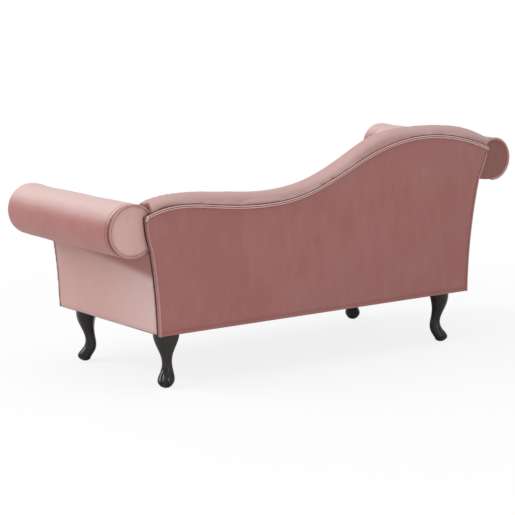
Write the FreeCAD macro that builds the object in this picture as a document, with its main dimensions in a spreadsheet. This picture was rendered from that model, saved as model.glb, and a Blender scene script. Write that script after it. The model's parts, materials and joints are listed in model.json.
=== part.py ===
import FreeCAD, Part
import Sketcher
import math
import os
import re

# Upholstered chaise longue with two scroll arms of different height and a shaped back.
# X runs along the seat, +X to the low foot end; Y runs from the open front to the back;
# Z is up from the floor. Millimetres and degrees. The origin is under the middle of the
# object's box. Heights called "rise" are measured from the underside of the base.

SIZES = {
    # base frame
    "base_length": 1284,
    "base_depth": 609,
    "leg_height": 180,
    "arm_thickness": 42,
    "rail_thickness": 25,
    "rail_depth": 95,
    "frame_lift": 2,
    "cross_rail_width": 45,
    "cross_rail_depth": 50,
    "cross_rail_spacing": 400,
    "corner_block_side": 110,
    "corner_block_depth": 60,
    # covers, liners and cords
    "cover": 2.5,
    "liner": 3,
    "padding": 20,
    "cord_radius": 2.5,
    "ring_cord_radius": 2.9,
    "soft_gap": 0.3,
    "dust_sheet": 1,
    "sheet_margin": 4,
    # arm at the low end
    "low_roll_out": 83,
    "low_roll_rise": 336,
    "low_roll_radius": 86,
    "low_neck_angle": 128,
    "low_neck_length": 3,
    "low_lean": 8,
    "low_inner_angle": 140,
    # arm at the high end
    "high_roll_out": 133,
    "high_roll_rise": 451,
    "high_roll_radius": 76,
    "high_neck_angle": 98,
    "high_neck_length": 78,
    "high_lean": 11,
    "high_inner_angle": 130,
    # boards, facings and roll caps of both arms
    "arm_board": 22,
    "facing": 6,
    "facing_inset": 10,
    "cap_length": 36,
    "cap_shoulder": 18,
    "cap_dome": 3,
    "batten_width": 40,
    "batten_thickness": 20,
    "batten_reach": 28,
    "foot_batten_width": 32,
    "foot_batten_height": 50,
    "neck_batten_width": 18,
    # seat
    "seat_rise": 246,
    "seat_crown": 9,
    "seat_front_round": 34,
    "seat_front_bulge": 4,
    "seat_end_drop": 5,
    "seat_edge_fall": 3,
    "seat_quarter_share": 0.6,
    "seat_quarter_fall": 0.2,
    "seat_under_lift": 17,
    "insulator": 4,
    "spring_count": 7,
    "spring_wire_radius": 1.8,
    "spring_width": 46,
    "spring_loops": 16,
    "clip_width": 18,
    "clip_depth": 12,
    "clip_height": 7,
    # back
    "back_board": 14.5,
    "back_pad_foot": 112,
    "back_pad_top": 85,
    "back_pad_bulge": 10,
    "crest_shoulder_share": 0.2,
    "upright_width": 60,
    "upright_thickness": 25,
    "upright_drop": 90,
    "low_tip_out": 47,
    "low_tip_rise": 377,
    "low_tip_bulge": 5,
    "high_tip_out": 88,
    "high_tip_rise": 492,
    "high_tip_bulge": 1.5,
    # line of the welt and of the crest along the back, from the low end to the high end
    "low_end_crest": 40,
    "low_hump_in": 82,
    "low_hump_rise": 401,
    "low_hump_crest": 39,
    "fall_in": 242,
    "fall_rise": 386,
    "fall_crest": 47,
    "dip_in": 397,
    "dip_rise": 376,
    "dip_crest": 47,
    "slope_foot_share": 0.23,
    "slope_foot_rise": 391,
    "slope_foot_crest": 42,
    "slope_share": 0.48,
    "slope_rise": 451,
    "slope_crest": 37,
    "slope_head_share": 0.71,
    "slope_head_rise": 516,
    "slope_head_crest": 49,
    "high_hump_in": 212,
    "high_hump_rise": 550.5,
    "high_hump_crest": 38,
    "high_fall_in": 42,
    "high_fall_rise": 533,
    "high_fall_crest": 46,
    "high_end_crest": 50,
    "crest_overhang": 31,
    "crest_end_lift": 36,
    # leg: distances from its axis along its outward kick, and half its width across
    "leg_inset": 66.6,
    "top_out": 27,
    "top_in": 36,
    "top_half": 42,
    "knee_drop": 30,
    "knee_out": 28,
    "knee_in": 30,
    "knee_half": 38,
    "calf_drop": 62,
    "calf_out": 18,
    "calf_in": 26,
    "calf_half": 25,
    "ankle_rise": 76,
    "ankle_out": 3,
    "ankle_in": 31,
    "ankle_half": 15,
    "instep_rise": 46,
    "instep_out": 9,
    "instep_in": 32,
    "instep_half": 20.5,
    "toe_rise": 24,
    "toe_out": 26,
    "toe_in": 22,
    "toe_half": 26.5,
    "sole_out": 20,
    "sole_in": 11,
    "sole_half": 15,
    "leg_fullness": 0.77,
    "toe_groove_radius": 4,
    "toe_groove_spacing": 18,
    "glide_radius": 10,
    "glide": 3,
    # fixings
    "leg_plate_side": 72,
    "bolt_radius": 4,
    "bolt_in": 14,
    "bolt_in_leg": 45,
    "bolt_in_block": 46,
    "arm_bolt_length": 56,
    "arm_bolt_from_block": 43.5,
    "arm_bolt_head_radius": 8,
    "arm_bolt_head": 5,
    "screw_radius": 2.5,
    "screw_length": 34,
    "screw_head_radius": 4.5,
    "screw_head": 3,
    "rail_screw_spacing": 360,
    "arm_screw_low_rise": 60,
    "arm_screw_high_rise": 220,
}

V = FreeCAD.Vector
doc = FreeCAD.newDocument("chaise_longue")
sheet = doc.addObject("Spreadsheet::Sheet", "sizes")
for row, (alias, value) in enumerate(SIZES.items(), start=1):
    sheet.set(f"A{row}", alias)
    sheet.set(f"B{row}", str(value))
    sheet.setAlias(f"B{row}", alias)
doc.recompute()


def size(name):
    return float(getattr(sheet, name))


# Numbers that several pieces share
HALF_LENGTH = size("base_length") / 2
HALF_DEPTH = size("base_depth") / 2
BASE_Z = size("leg_height")
FRAME_Z = BASE_Z + size("frame_lift")
RAIL_TOP = FRAME_Z + size("rail_depth")
INNER_END = HALF_LENGTH - size("arm_thickness")
SPRING_SPACING = 2 * INNER_END / (size("spring_count") + 1)
COVER = size("cover")
GAP = size("soft_gap")
BOARD_REAR = HALF_DEPTH - COVER
ARM_REAR = BOARD_REAR - size("back_board")
ARM_BOARD_REAR = ARM_REAR - size("facing")
ARM_FRONT = -HALF_DEPTH
ARM_BOARD_FRONT = ARM_FRONT + size("facing")
SEAT_UNDER = RAIL_TOP + size("seat_under_lift")
SEAT_TOP = BASE_Z + size("seat_rise")

# The same places as formulas of the sheet
HALF_X = "base_length / 2"
IN_X = "(base_length / 2 - arm_thickness)"
FRAME = "(leg_height + frame_lift)"
TOP_OF_RAIL = "(leg_height + frame_lift + rail_depth)"
UNDER_SEAT = "(leg_height + frame_lift + rail_depth + seat_under_lift)"
ARM_BACK = "(base_depth / 2 - cover - back_board)"
ARM_BOARD_BACK = "(base_depth / 2 - cover - back_board - facing)"
FRONT = "(-base_depth / 2)"
ARM_BOARD_FACE = "(-base_depth / 2 + facing)"
BETWEEN_BLOCKS = "(base_depth - 2 * facing - 2 * rail_thickness - 2 * corner_block_side)"
ARM_BOLT_PLACE = f"({BETWEEN_BLOCKS} / 2 - arm_bolt_from_block)"
SHIFT_X = "(high_roll_out + high_roll_radius - low_roll_out - low_roll_radius) / 2"
SHIFT_Y = "(cap_length - 2 * cord_radius) / 2"

# Working numbers that are no size of the object
HALVINGS = 40
ARC_TOLERANCE = 0.2
OVERCUT = 1
UPRIGHT_STEPS = (-3.5, -1.5, 1.5, 3.5)

pieces = []
corners = {}


def formula(text):
    """A formula of size names, as an expression that reads the sheet."""
    def read(word):
        name = word.group()
        return "sizes." + name if name in SIZES else name

    return re.sub(r"[a-z_]+", read, text)


def bind(piece, prop, text):
    piece.setExpression(prop, formula(text))


def block(name, x0, x1, y0, y1, z0, z1):
    """A square-edged timber between two corners, each given as a formula."""
    timber = doc.addObject("Part::Box", name)
    bind(timber, "Length", f"({x1}) - ({x0})")
    bind(timber, "Width", f"({y1}) - ({y0})")
    bind(timber, "Height", f"({z1}) - ({z0})")
    corners[timber.Name] = (x0, y0, z0)
    seat_at(timber)
    return timber


def rod(name, radius, length, x, y, z, axis):
    """A round bar that starts at a point and runs along an axis."""
    bar = doc.addObject("Part::Cylinder", name)
    bind(bar, "Radius", radius)
    bind(bar, "Height", length)
    bar.Placement = FreeCAD.Placement(V(0, 0, 0), FreeCAD.Rotation(V(0, 0, 1), axis))
    corners[bar.Name] = (x, y, z)
    seat_at(bar)
    return bar


def seat_at(piece, shift_x="0", shift_y="0"):
    x, y, z = corners.get(piece.Name, ("0", "0", "0"))
    bind(piece, "Placement.Base.x", f"({x}) + {shift_x}")
    bind(piece, "Placement.Base.y", f"({y}) + {shift_y}")
    bind(piece, "Placement.Base.z", f"({z})")


def keep(piece, name):
    """Make an object a finished sub-part: its label names its file."""
    piece.Label = name
    seat_at(piece, SHIFT_X, SHIFT_Y)
    pieces.append(piece)
    return piece


def keep_group(members, name):
    group = doc.addObject("Part::Compound", name)
    group.Links = members
    return keep(group, name)


def keep_shape(shape, name):
    piece = doc.addObject("Part::Feature", name)
    piece.Shape = shape
    return keep(piece, name)


def bored(solid, tools, name):
    """A solid with holes cut by its own fixings' tools."""
    cutters = doc.addObject("Part::Compound", name + "_bores")
    cutters.Links = tools
    cut = doc.addObject("Part::Cut", name + "_bored")
    cut.Base = solid
    cut.Tool = cutters
    return cut


# Outlines across the object, drawn in the plane y = 0


def line(a, b):
    return Part.LineSegment(a, b).toShape()


def arc(a, through, b):
    return Part.Arc(a, through, b).toShape()


def closed_face(edges):
    return Part.Face(Part.Wire(edges))


def slab(edges, y0, y1):
    """A flat outline given thickness from y0 to y1."""
    face = closed_face(edges)
    face.translate(V(0, y0, 0))
    return face.extrude(V(0, y1 - y0, 0))


class End:
    """One end of the chaise, with the scroll outline of its arm."""

    def __init__(self, name, sign):
        self.name = name
        self.sign = sign
        self.roll_x = HALF_LENGTH + size(name + "_roll_out")
        self.roll_z = BASE_Z + size(name + "_roll_rise")
        self.radius = size(name + "_roll_radius")
        self.neck_angle = -size(name + "_neck_angle")
        self.neck_length = size(name + "_neck_length")
        self.lean = size(name + "_lean")
        self.inner_angle = size(name + "_inner_angle")
        self.tip_x = HALF_LENGTH + size(name + "_tip_out")
        self.tip_z = BASE_Z + size(name + "_tip_rise")
        self.tip_bulge = size(name + "_tip_bulge")

    def at(self, x, z, y=0.0):
        return V(self.sign * x, y, z)

    def on_roll(self, radius, degrees):
        turn = math.radians(degrees)
        return self.at(self.roll_x + radius * math.cos(turn), self.roll_z + radius * math.sin(turn))

    def crease(self, inset=0.0):
        """Where the underside of the roll meets the outside of the arm."""
        turn = math.radians(self.neck_angle)
        under = self.on_roll(self.radius - inset, self.neck_angle)
        return under + self.at(math.sin(turn), -math.cos(turn)) * self.neck_length

    def outer_x(self, height):
        """Reach of the arm's hollow outside at a height, from the middle of the base."""
        top = self.crease()
        half_way = self.at(HALF_LENGTH + self.lean, (BASE_Z + top.z) / 2)
        bend = Part.Circle(self.at(HALF_LENGTH, BASE_Z), half_way, top)
        centre_x = bend.Center.x * self.sign
        reach = math.sqrt(bend.Radius ** 2 - (height - bend.Center.z) ** 2)
        return centre_x + math.copysign(reach, half_way.x * self.sign - centre_x)

    def outer_edge(self, inset, foot_z):
        """Outside of the arm, from its foot up to the crease."""
        top_z = self.crease().z
        heights = (foot_z, (foot_z + top_z) / 2, top_z)
        return arc(*[self.at(self.outer_x(height) - inset, height) for height in heights])

    def roll_edges(self, inset):
        """From the crease round the roll, over its top and down to the top of the rail."""
        radius = self.radius - inset
        middle = (self.neck_angle + self.inner_angle) / 2
        quarter = (middle - self.neck_angle) / 2
        under = self.on_roll(radius, self.neck_angle)
        outermost = self.on_roll(radius, middle)
        shoulder = self.on_roll(radius, self.inner_angle)
        seat = self.at(INNER_END + inset, SEAT_TOP)
        tuck = self.at(INNER_END + inset, RAIL_TOP)
        return [
            line(self.crease(inset), under),
            arc(under, self.on_roll(radius, self.neck_angle + quarter), outermost),
            arc(outermost, self.on_roll(radius, middle + quarter), shoulder),
            arc(shoulder, self.inner_middle(shoulder, seat), seat),
            line(seat, tuck),
        ]

    def inner_middle(self, shoulder, seat):
        """Middle of the arc that leaves the roll in line with it and ends at the seat."""
        chord_x = (seat.x - shoulder.x) * self.sign
        chord_z = seat.z - shoulder.z
        start = math.radians(self.inner_angle + 90)
        turn = math.remainder(math.atan2(chord_z, chord_x) - start, 2 * math.pi)
        bulge = math.tan(turn / 2) / 2
        return (shoulder + seat) * 0.5 + self.at(bulge * chord_z, -bulge * chord_x)

    def scroll(self, outside, inset, foot_z):
        """The closed outline of a board or facing."""
        edges = [self.outer_edge(outside, foot_z)]
        edges.append(line(self.crease() - self.at(outside, 0), self.crease(inset)))
        edges += self.roll_edges(inset)
        rail_corner = self.at(INNER_END, RAIL_TOP)
        rail_foot = self.at(INNER_END, foot_z)
        edges.append(line(self.at(INNER_END + inset, RAIL_TOP), rail_corner))
        edges.append(line(rail_corner, rail_foot))
        edges.append(line(rail_foot, self.at(self.outer_x(foot_z) - outside, foot_z)))
        return edges

    def roll_band(self, inset_a, inset_b):
        """A layer round the roll and down the inside, between two insets."""
        inner = self.roll_edges(inset_b)
        edges = self.roll_edges(inset_a)
        edges.append(line(self.at(INNER_END + inset_a, RAIL_TOP), self.at(INNER_END + inset_b, RAIL_TOP)))
        edges += list(reversed(inner))
        edges.append(line(self.crease(inset_b), self.crease(inset_a)))
        return edges

    def outer_band(self, inset_a, inset_b, foot_z):
        """A layer on the outside of the arm, between two insets."""
        top = self.crease()
        foot_x = self.outer_x(foot_z)
        return [
            self.outer_edge(inset_a, foot_z),
            line(top - self.at(inset_a, 0), top - self.at(inset_b, 0)),
            self.outer_edge(inset_b, foot_z),
            line(self.at(foot_x - inset_b, foot_z), self.at(foot_x - inset_a, foot_z)),
        ]

    def tip(self, inset, drop):
        """Top corner of the back at this end, under the line of the welt."""
        x = self.tip_x - inset
        return self.at(x, height_on(WELT, self.sign * x) - drop)

    def side_edges(self, inset, foot_z, drop):
        """Side of the back, from its foot past the crease to its top corner."""
        crease = self.crease() - self.at(inset, 0)
        tip = self.tip(inset, drop)
        half_way = (crease + tip) * 0.5 + self.at(self.tip_bulge, 0)
        return [self.outer_edge(inset, foot_z), arc(crease, half_way, tip)]


LOW = End("low", 1)
HIGH = End("high", -1)
ENDS = [LOW, HIGH]


# Lines of the welt and of the crest along the back


def back_stations():
    """Places along the back: x, height of the welt and height of the crest over it."""
    dip_x = HALF_LENGTH - size("dip_in")
    hump_x = -HALF_LENGTH + size("high_hump_in")
    run = hump_x - dip_x
    stations = [(LOW.tip_x, size("low_tip_rise"), size("low_end_crest"))]
    for name in ("low_hump", "fall", "dip"):
        stations.append((HALF_LENGTH - size(name + "_in"), size(name + "_rise"), size(name + "_crest")))
    for name in ("slope_foot", "slope", "slope_head"):
        stations.append((dip_x + run * size(name + "_share"), size(name + "_rise"), size(name + "_crest")))
    for name in ("high_hump", "high_fall"):
        stations.append((-HALF_LENGTH + size(name + "_in"), size(name + "_rise"), size(name + "_crest")))
    stations.append((-HIGH.tip_x, size("high_tip_rise"), size("high_end_crest")))
    return [(x, BASE_Z + rise, crest) for x, rise, crest in stations]


def curve_through(points):
    curve = Part.BSplineCurve()
    curve.interpolate(points)
    return curve


STATIONS = back_stations()
WELT = curve_through([V(x, 0, z) for x, z, crest in STATIONS])
OVERHANG = V(-HIGH.tip_x - size("crest_overhang"), 0, HIGH.tip_z + size("crest_end_lift"))
CREST = curve_through([V(x, 0, z + crest) for x, z, crest in STATIONS] + [OVERHANG])


def height_on(curve, x):
    """Height of a line of the back at a place along it."""
    low, high = curve.FirstParameter, curve.LastParameter
    for step in range(HALVINGS):
        middle = (low + high) / 2
        if curve.value(middle).x > x:
            low = middle
        else:
            high = middle
    return curve.value(low).z


def back_outline(inset, foot_z, drop):
    """The closed outline of the back's board or cover, with its top under the welt line."""
    middle = [V(x, 0, z - drop) for x, z, crest in STATIONS[1:-1]]
    top = curve_through([LOW.tip(inset, drop)] + middle + [HIGH.tip(inset, drop)])
    edges = LOW.side_edges(inset, foot_z, drop)
    edges.append(top.toShape())
    edges += reversed(HIGH.side_edges(inset, foot_z, drop))
    feet = [end.at(end.outer_x(foot_z) - inset, foot_z) for end in (HIGH, LOW)]
    edges.append(line(*feet))
    return edges


def cord_along(edges, radius, y=0):
    """A round cord on a chain of tangent lines and arcs, at a depth y."""
    spine = Part.Wire(edges)
    spine.translate(V(0, y, 0))
    start = spine.OrderedEdges[0]
    point = spine.OrderedVertexes[0].Point
    tangent = start.tangentAt(start.FirstParameter)
    ring = Part.Wire([Part.Circle(point, tangent, radius).toShape()])
    return spine.makePipeShell([ring], True, True)


# Base frame


def base_frame():
    inner = f"({IN_X} - rail_thickness)"
    front_inner = f"({ARM_BOARD_FACE} + rail_thickness)"
    rear_inner = f"({ARM_BACK} - rail_thickness)"
    front = block("front_timber", f"-{IN_X}", IN_X, ARM_BOARD_FACE, front_inner, FRAME, TOP_OF_RAIL)
    keep(front, "front_rail")
    rear = block("rear_timber", f"-{IN_X}", IN_X, rear_inner, ARM_BACK, FRAME, TOP_OF_RAIL)
    keep(bored(rear, rail_screw_tools(), "rear_rail"), "rear_rail")
    low = block("low_timber", inner, IN_X, front_inner, rear_inner, FRAME, TOP_OF_RAIL)
    high = block("high_timber", f"-{IN_X}", f"-{inner}", front_inner, rear_inner, FRAME, TOP_OF_RAIL)
    keep(bored(low, arm_bolt_tools(1), "low_end_rail"), "low_end_rail")
    keep(bored(high, arm_bolt_tools(-1), "high_end_rail"), "high_end_rail")
    cross = []
    for side in (-1, 1):
        middle = f"({side} * cross_rail_spacing / 2)"
        cross.append(block(
            "cross_timber", f"{middle} - cross_rail_width / 2", f"{middle} + cross_rail_width / 2",
            front_inner, rear_inner, FRAME, f"{FRAME} + cross_rail_depth"))
    keep_group(cross, "cross_rails")


def corner_places():
    return [(sx, sy) for sx in (1, -1) for sy in (1, -1)]


def leg_axis(sx, sy):
    """The leg's axis at a corner, as formulas."""
    return f"({sx} * (base_length / 2 - leg_inset))", f"({sy} * (base_depth / 2 - leg_inset))"


def bolt_axis(sx, sy):
    x, y = leg_axis(sx, sy)
    step = f"bolt_in * {math.sqrt(0.5):.6f}"
    return f"({x} - {sx} * {step})", f"({y} - {sy} * {step})"


def leg_bolt(sx, sy):
    x, y = bolt_axis(sx, sy)
    foot = "leg_height - bolt_in_leg"
    length = "bolt_in_leg + frame_lift + bolt_in_block"
    return rod("leg_bolt_shank", "bolt_radius", length, x, y, foot, V(0, 0, 1))


def corner_blocks():
    """Triangular blocks glued into the corners, bored for the legs' bolts."""
    blocks = []
    for sx, sy in corner_places():
        body = doc.addObject("PartDesign::Body", "corner_block_body")
        plane = [f for f in body.Origin.OriginFeatures if f.Role == "XY_Plane"][0]
        sketch = body.newObject("Sketcher::SketchObject", "corner_block_plan")
        sketch.AttachmentSupport = [(plane, "")]
        sketch.MapMode = "FlatFace"
        side = size("corner_block_side")
        tips = [V(0, 0, 0), V(-sx * side, 0, 0), V(0, -sy * side, 0)]
        for start, stop in zip(tips, tips[1:] + tips[:1]):
            sketch.addGeometry(Part.LineSegment(start, stop))
        sketch.addConstraint(Sketcher.Constraint("Coincident", 0, 1, -1, 1))
        for edge in range(3):
            sketch.addConstraint(Sketcher.Constraint("Coincident", edge, 2, (edge + 1) % 3, 1))
        sketch.addConstraint(Sketcher.Constraint("Horizontal", 0))
        sketch.addConstraint(Sketcher.Constraint("Vertical", 2))
        along = sketch.addConstraint(Sketcher.Constraint("Distance", 0, side))
        across = sketch.addConstraint(Sketcher.Constraint("Distance", 2, side))
        bind(sketch, f"Constraints[{along}]", "corner_block_side")
        bind(sketch, f"Constraints[{across}]", "corner_block_side")
        pad = body.newObject("PartDesign::Pad", "corner_block_pad")
        pad.Profile = sketch
        bind(pad, "Length", "corner_block_depth")
        sketch.Visibility = False
        y = f"({ARM_BACK} - rail_thickness)" if sy > 0 else f"({ARM_BOARD_FACE} + rail_thickness)"
        corners[body.Name] = (f"{sx} * ({IN_X} - rail_thickness)", y, FRAME)
        seat_at(body)
        blocks.append(bored(body, [leg_bolt(sx, sy)], "corner_block"))
    keep_group(blocks, "corner_blocks")


def leg_plates():
    plates = []
    for sx, sy in corner_places():
        x, y = bolt_axis(sx, sy)
        plate = block("leg_plate_blank", f"{x} - leg_plate_side / 2", f"{x} + leg_plate_side / 2",
                      f"{y} - leg_plate_side / 2", f"{y} + leg_plate_side / 2", "leg_height", FRAME)
        plates.append(bored(plate, [leg_bolt(sx, sy)], "leg_plate"))
    keep_group(plates, "leg_plates")
    keep_group([leg_bolt(sx, sy) for sx, sy in corner_places()], "leg_bolts")


def arm_bolt_tools(sx):
    """Bolts from inside an end rail into the foot batten of its arm."""
    tools = []
    head_x = f"{sx} * ({IN_X} - rail_thickness)"
    height = f"({FRAME} + rail_depth / 2 - arm_bolt_head)"
    for side in (-1, 1):
        y = f"{side} * {ARM_BOLT_PLACE}"
        tools.append(rod("arm_bolt_shank", "bolt_radius", "arm_bolt_length", head_x, y, height, V(sx, 0, 0)))
    return tools


def arm_bolts():
    bolts = []
    for sx in (1, -1):
        head_x = f"{sx} * ({IN_X} - rail_thickness)"
        height = f"({FRAME} + rail_depth / 2 - arm_bolt_head)"
        for side, shank in zip((-1, 1), arm_bolt_tools(sx)):
            y = f"{side} * {ARM_BOLT_PLACE}"
            head = rod("arm_bolt_cap", "arm_bolt_head_radius", "arm_bolt_head",
                       head_x, y, height, V(-sx, 0, 0))
            bolt = doc.addObject("Part::Fuse", "arm_bolt")
            bolt.Base = shank
            bolt.Tool = head
            bolts.append(bolt)
    keep_group(bolts, "arm_bolts")


def dust_cover():
    x = f"({IN_X} - sheet_margin)"
    y0 = f"({ARM_BOARD_FACE} + sheet_margin)"
    y1 = f"({ARM_BACK} - sheet_margin)"
    cloth = block("dust_cloth", f"-{x}", x, y0, y1, f"{FRAME} - dust_sheet", FRAME)
    cuts = []
    for sx, sy in corner_places():
        x, y = bolt_axis(sx, sy)
        reach = "(leg_plate_side / 2 + sheet_margin)"
        cuts.append(block("plate_window", f"{x} - {reach}", f"{x} + {reach}",
                          f"{y} - {reach}", f"{y} + {reach}", "leg_height", FRAME))
    keep(bored(cloth, cuts, "dust_cloth"), "dust_cover")


# Legs


def leg_section(height, outer, inner, half):
    """A rounded section of the leg: four arcs through its front, sides and heel."""
    middle = (outer - inner) / 2
    reach = (outer + inner) / 2
    full = size("leg_fullness")
    tips = [V(outer, 0, height), V(middle, half, height), V(-inner, 0, height), V(middle, -half, height)]
    edges = []
    for turn in range(4):
        a, b = tips[turn], tips[(turn + 1) % 4]
        along = 1 if turn in (0, 3) else -1
        across = 1 if turn in (0, 1) else -1
        through = V(middle + along * full * reach, across * full * half, height)
        edges.append(arc(a, through, b))
    return Part.Wire(edges)


def leg_shape():
    top = size("leg_height")
    sections = [leg_section(top, size("top_out"), size("top_in"), size("top_half"))]
    for name in ("knee", "calf"):
        height = top - size(name + "_drop")
        sections.append(leg_section(height, size(name + "_out"), size(name + "_in"), size(name + "_half")))
    for name in ("ankle", "instep", "toe"):
        height = size(name + "_rise")
        sections.append(leg_section(height, size(name + "_out"), size(name + "_in"), size(name + "_half")))
    sections.append(leg_section(size("glide"), size("sole_out"), size("sole_in"), size("sole_half")))
    leg = Part.makeLoft(sections, True, False)
    groove = size("toe_groove_radius")
    upper = V(size("instep_out") + groove / 2, 0, size("instep_rise"))
    knuckle = V(size("toe_out") + groove / 2, 0, size("toe_rise"))
    lower = V(size("sole_out") + groove / 2, 0, 0)
    for side in (-1, 1):
        across = V(0, side * size("toe_groove_spacing") / 2, 0)
        upper_cut = Part.makeCylinder(groove, (knuckle - upper).Length, upper + across, knuckle - upper)
        lower_cut = Part.makeCylinder(groove, (lower - knuckle).Length, knuckle + across, lower - knuckle)
        bend = Part.makeSphere(groove, knuckle + across)
        leg = leg.cut([upper_cut, lower_cut, bend])
    bolt = Part.makeCylinder(size("bolt_radius"), size("bolt_in_leg"),
                             V(-size("bolt_in"), 0, top - size("bolt_in_leg")))
    return leg.cut(bolt)


def legs():
    shape = leg_shape()
    glides = []
    for sx, sy in corner_places():
        end = "low" if sx > 0 else "high"
        side = "rear" if sy > 0 else "front"
        leg = doc.addObject("Part::Feature", f"{end}_{side}_leg")
        leg.Shape = shape
        turn = math.degrees(math.atan2(sy, sx))
        leg.Placement = FreeCAD.Placement(V(0, 0, 0), FreeCAD.Rotation(V(0, 0, 1), turn))
        x, y = leg_axis(sx, sy)
        corners[leg.Name] = (x, y, "0")
        keep(leg, f"leg_{end}_{side}")
        step = f"(sole_out - sole_in) / 2 * {math.sqrt(0.5):.6f}"
        glides.append(rod("glide_disc", "glide_radius", "glide",
                          f"{x} + {sx} * {step}", f"{y} + {sy} * {step}", "0", V(0, 0, 1)))
    keep_group(glides, "leg_glides")


# Seat springs and upholstery


def spring_shape():
    """A zigzag seat spring from the front rail to the rear rail, in its own middle plane."""
    front = ARM_BOARD_FRONT + size("rail_thickness") / 2
    rear = ARM_REAR - size("rail_thickness") / 2
    loops = int(size("spring_loops"))
    pitch = (rear - front) / loops
    bend = pitch / 2
    reach = size("spring_width") / 2 - bend
    edges = [line(V(0, front, 0), V(reach, front, 0))]
    side = 1
    y = front
    for loop in range(loops):
        outermost = V(side * (reach + bend), y + bend, 0)
        edges.append(arc(V(side * reach, y, 0), outermost, V(side * reach, y + pitch, 0)))
        y += pitch
        stop = -side * reach if loop < loops - 1 else 0
        edges.append(line(V(side * reach, y, 0), V(stop, y, 0)))
        side = -side
    return cord_along(edges, size("spring_wire_radius"))


def springs():
    count = int(size("spring_count"))
    height = RAIL_TOP + size("clip_height") / 2
    spring = spring_shape()
    wires = []
    clips = []
    front = ARM_BOARD_FRONT + size("rail_thickness") / 2
    rear = ARM_REAR - size("rail_thickness") / 2
    wide = size("clip_width")
    deep = size("clip_depth")
    for place in range(count):
        x = (place - (count - 1) / 2) * SPRING_SPACING
        wire = spring.copy()
        wire.translate(V(x, 0, height))
        wires.append(wire)
        for y in (front, rear):
            clip = Part.makeBox(wide, deep, size("clip_height"), V(x - wide / 2, y - deep / 2, RAIL_TOP))
            clips.append(clip.cut(wire))
    keep_shape(Part.makeCompound(wires), "seat_springs")
    keep_shape(Part.makeCompound([clip.Solids[0] for clip in clips]), "spring_clips")


def insulator():
    x = f"({IN_X} - sheet_margin)"
    y0 = f"({ARM_BOARD_FACE} + sheet_margin)"
    y1 = "(base_depth / 2 - back_pad_foot - sheet_margin)"
    pad = block("insulator_felt", f"-{x}", x, y0, y1, f"{UNDER_SEAT} - insulator", UNDER_SEAT)
    keep(pad, "insulator_pad")


def seat_section(x, inset, drop):
    """The seat across its depth: flat underside, crowned top and rounded front."""
    rear = HALF_DEPTH - size("back_pad_foot") - size("back_pad_bulge") - GAP
    front = ARM_FRONT - size("seat_front_bulge") + inset
    top = SEAT_TOP - drop - inset
    edge = size("seat_front_round")
    edge_top = top - size("seat_edge_fall")
    cut = edge * (1 - math.sqrt(0.5))
    turn = V(x, front + edge, edge_top)
    lip = V(x, front, edge_top - edge)
    diagonal = V(x, front + cut, edge_top - cut)
    rear_top = V(x, rear, edge_top)
    middle = V(x, (rear + front + edge) / 2, top + size("seat_crown"))
    foot_front = V(x, ARM_FRONT + inset, SEAT_UNDER)
    foot_rear = V(x, rear, SEAT_UNDER)
    belly = V(x, front - size("seat_front_bulge") / 2, (lip.z + foot_front.z) / 2)
    return Part.Wire([
        line(foot_rear, rear_top),
        arc(rear_top, middle, turn),
        arc(turn, diagonal, lip),
        arc(lip, belly, foot_front),
        line(foot_front, foot_rear),
    ])


def seat_form(inset, reach):
    half = INNER_END - GAP + reach
    drop = size("seat_end_drop")
    quarter = half * size("seat_quarter_share")
    fallen = drop * size("seat_quarter_fall")
    places = [(-half, drop), (-quarter, fallen), (0, 0), (quarter, fallen), (half, drop)]
    return Part.makeLoft([seat_section(x, inset, fall) for x, fall in places], True, False)


def seat():
    outer = seat_form(0, 0)
    inner = seat_form(COVER, 0)
    hollow = seat_form(COVER, COVER)
    keep_shape(inner, "seat_foam")
    keep_shape(outer.cut(hollow), "seat_cover")
    cord = size("ring_cord_radius")
    border_top = f"({UNDER_SEAT} - 2 * ring_cord_radius)"
    border = block("front_border_panel", f"-{IN_X} + soft_gap", f"{IN_X} - soft_gap",
                   FRONT, ARM_BOARD_FACE, "leg_height", border_top)
    keep(border, "front_border")
    welt = rod("front_welt_cord", "ring_cord_radius", f"2 * {IN_X} - 2 * soft_gap", f"-{IN_X} + soft_gap",
               f"{FRONT} + ring_cord_radius", f"{UNDER_SEAT} - ring_cord_radius", V(1, 0, 0))
    keep(welt, "front_welt")


# Arms


def arm_boards(end):
    outline = end.scroll(COVER + size("liner"), COVER + size("padding"), FRAME_Z)
    thick = size("arm_board")
    rear = slab(outline, ARM_BOARD_REAR - thick, ARM_BOARD_REAR)
    for tool in arm_screw_shapes(end):
        rear = rear.cut(tool)
    keep_shape(rear, f"{end.name}_arm_rear_board")
    front = slab(outline, ARM_BOARD_FRONT, ARM_BOARD_FRONT + thick)
    keep_shape(front, f"{end.name}_arm_front_board")


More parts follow.
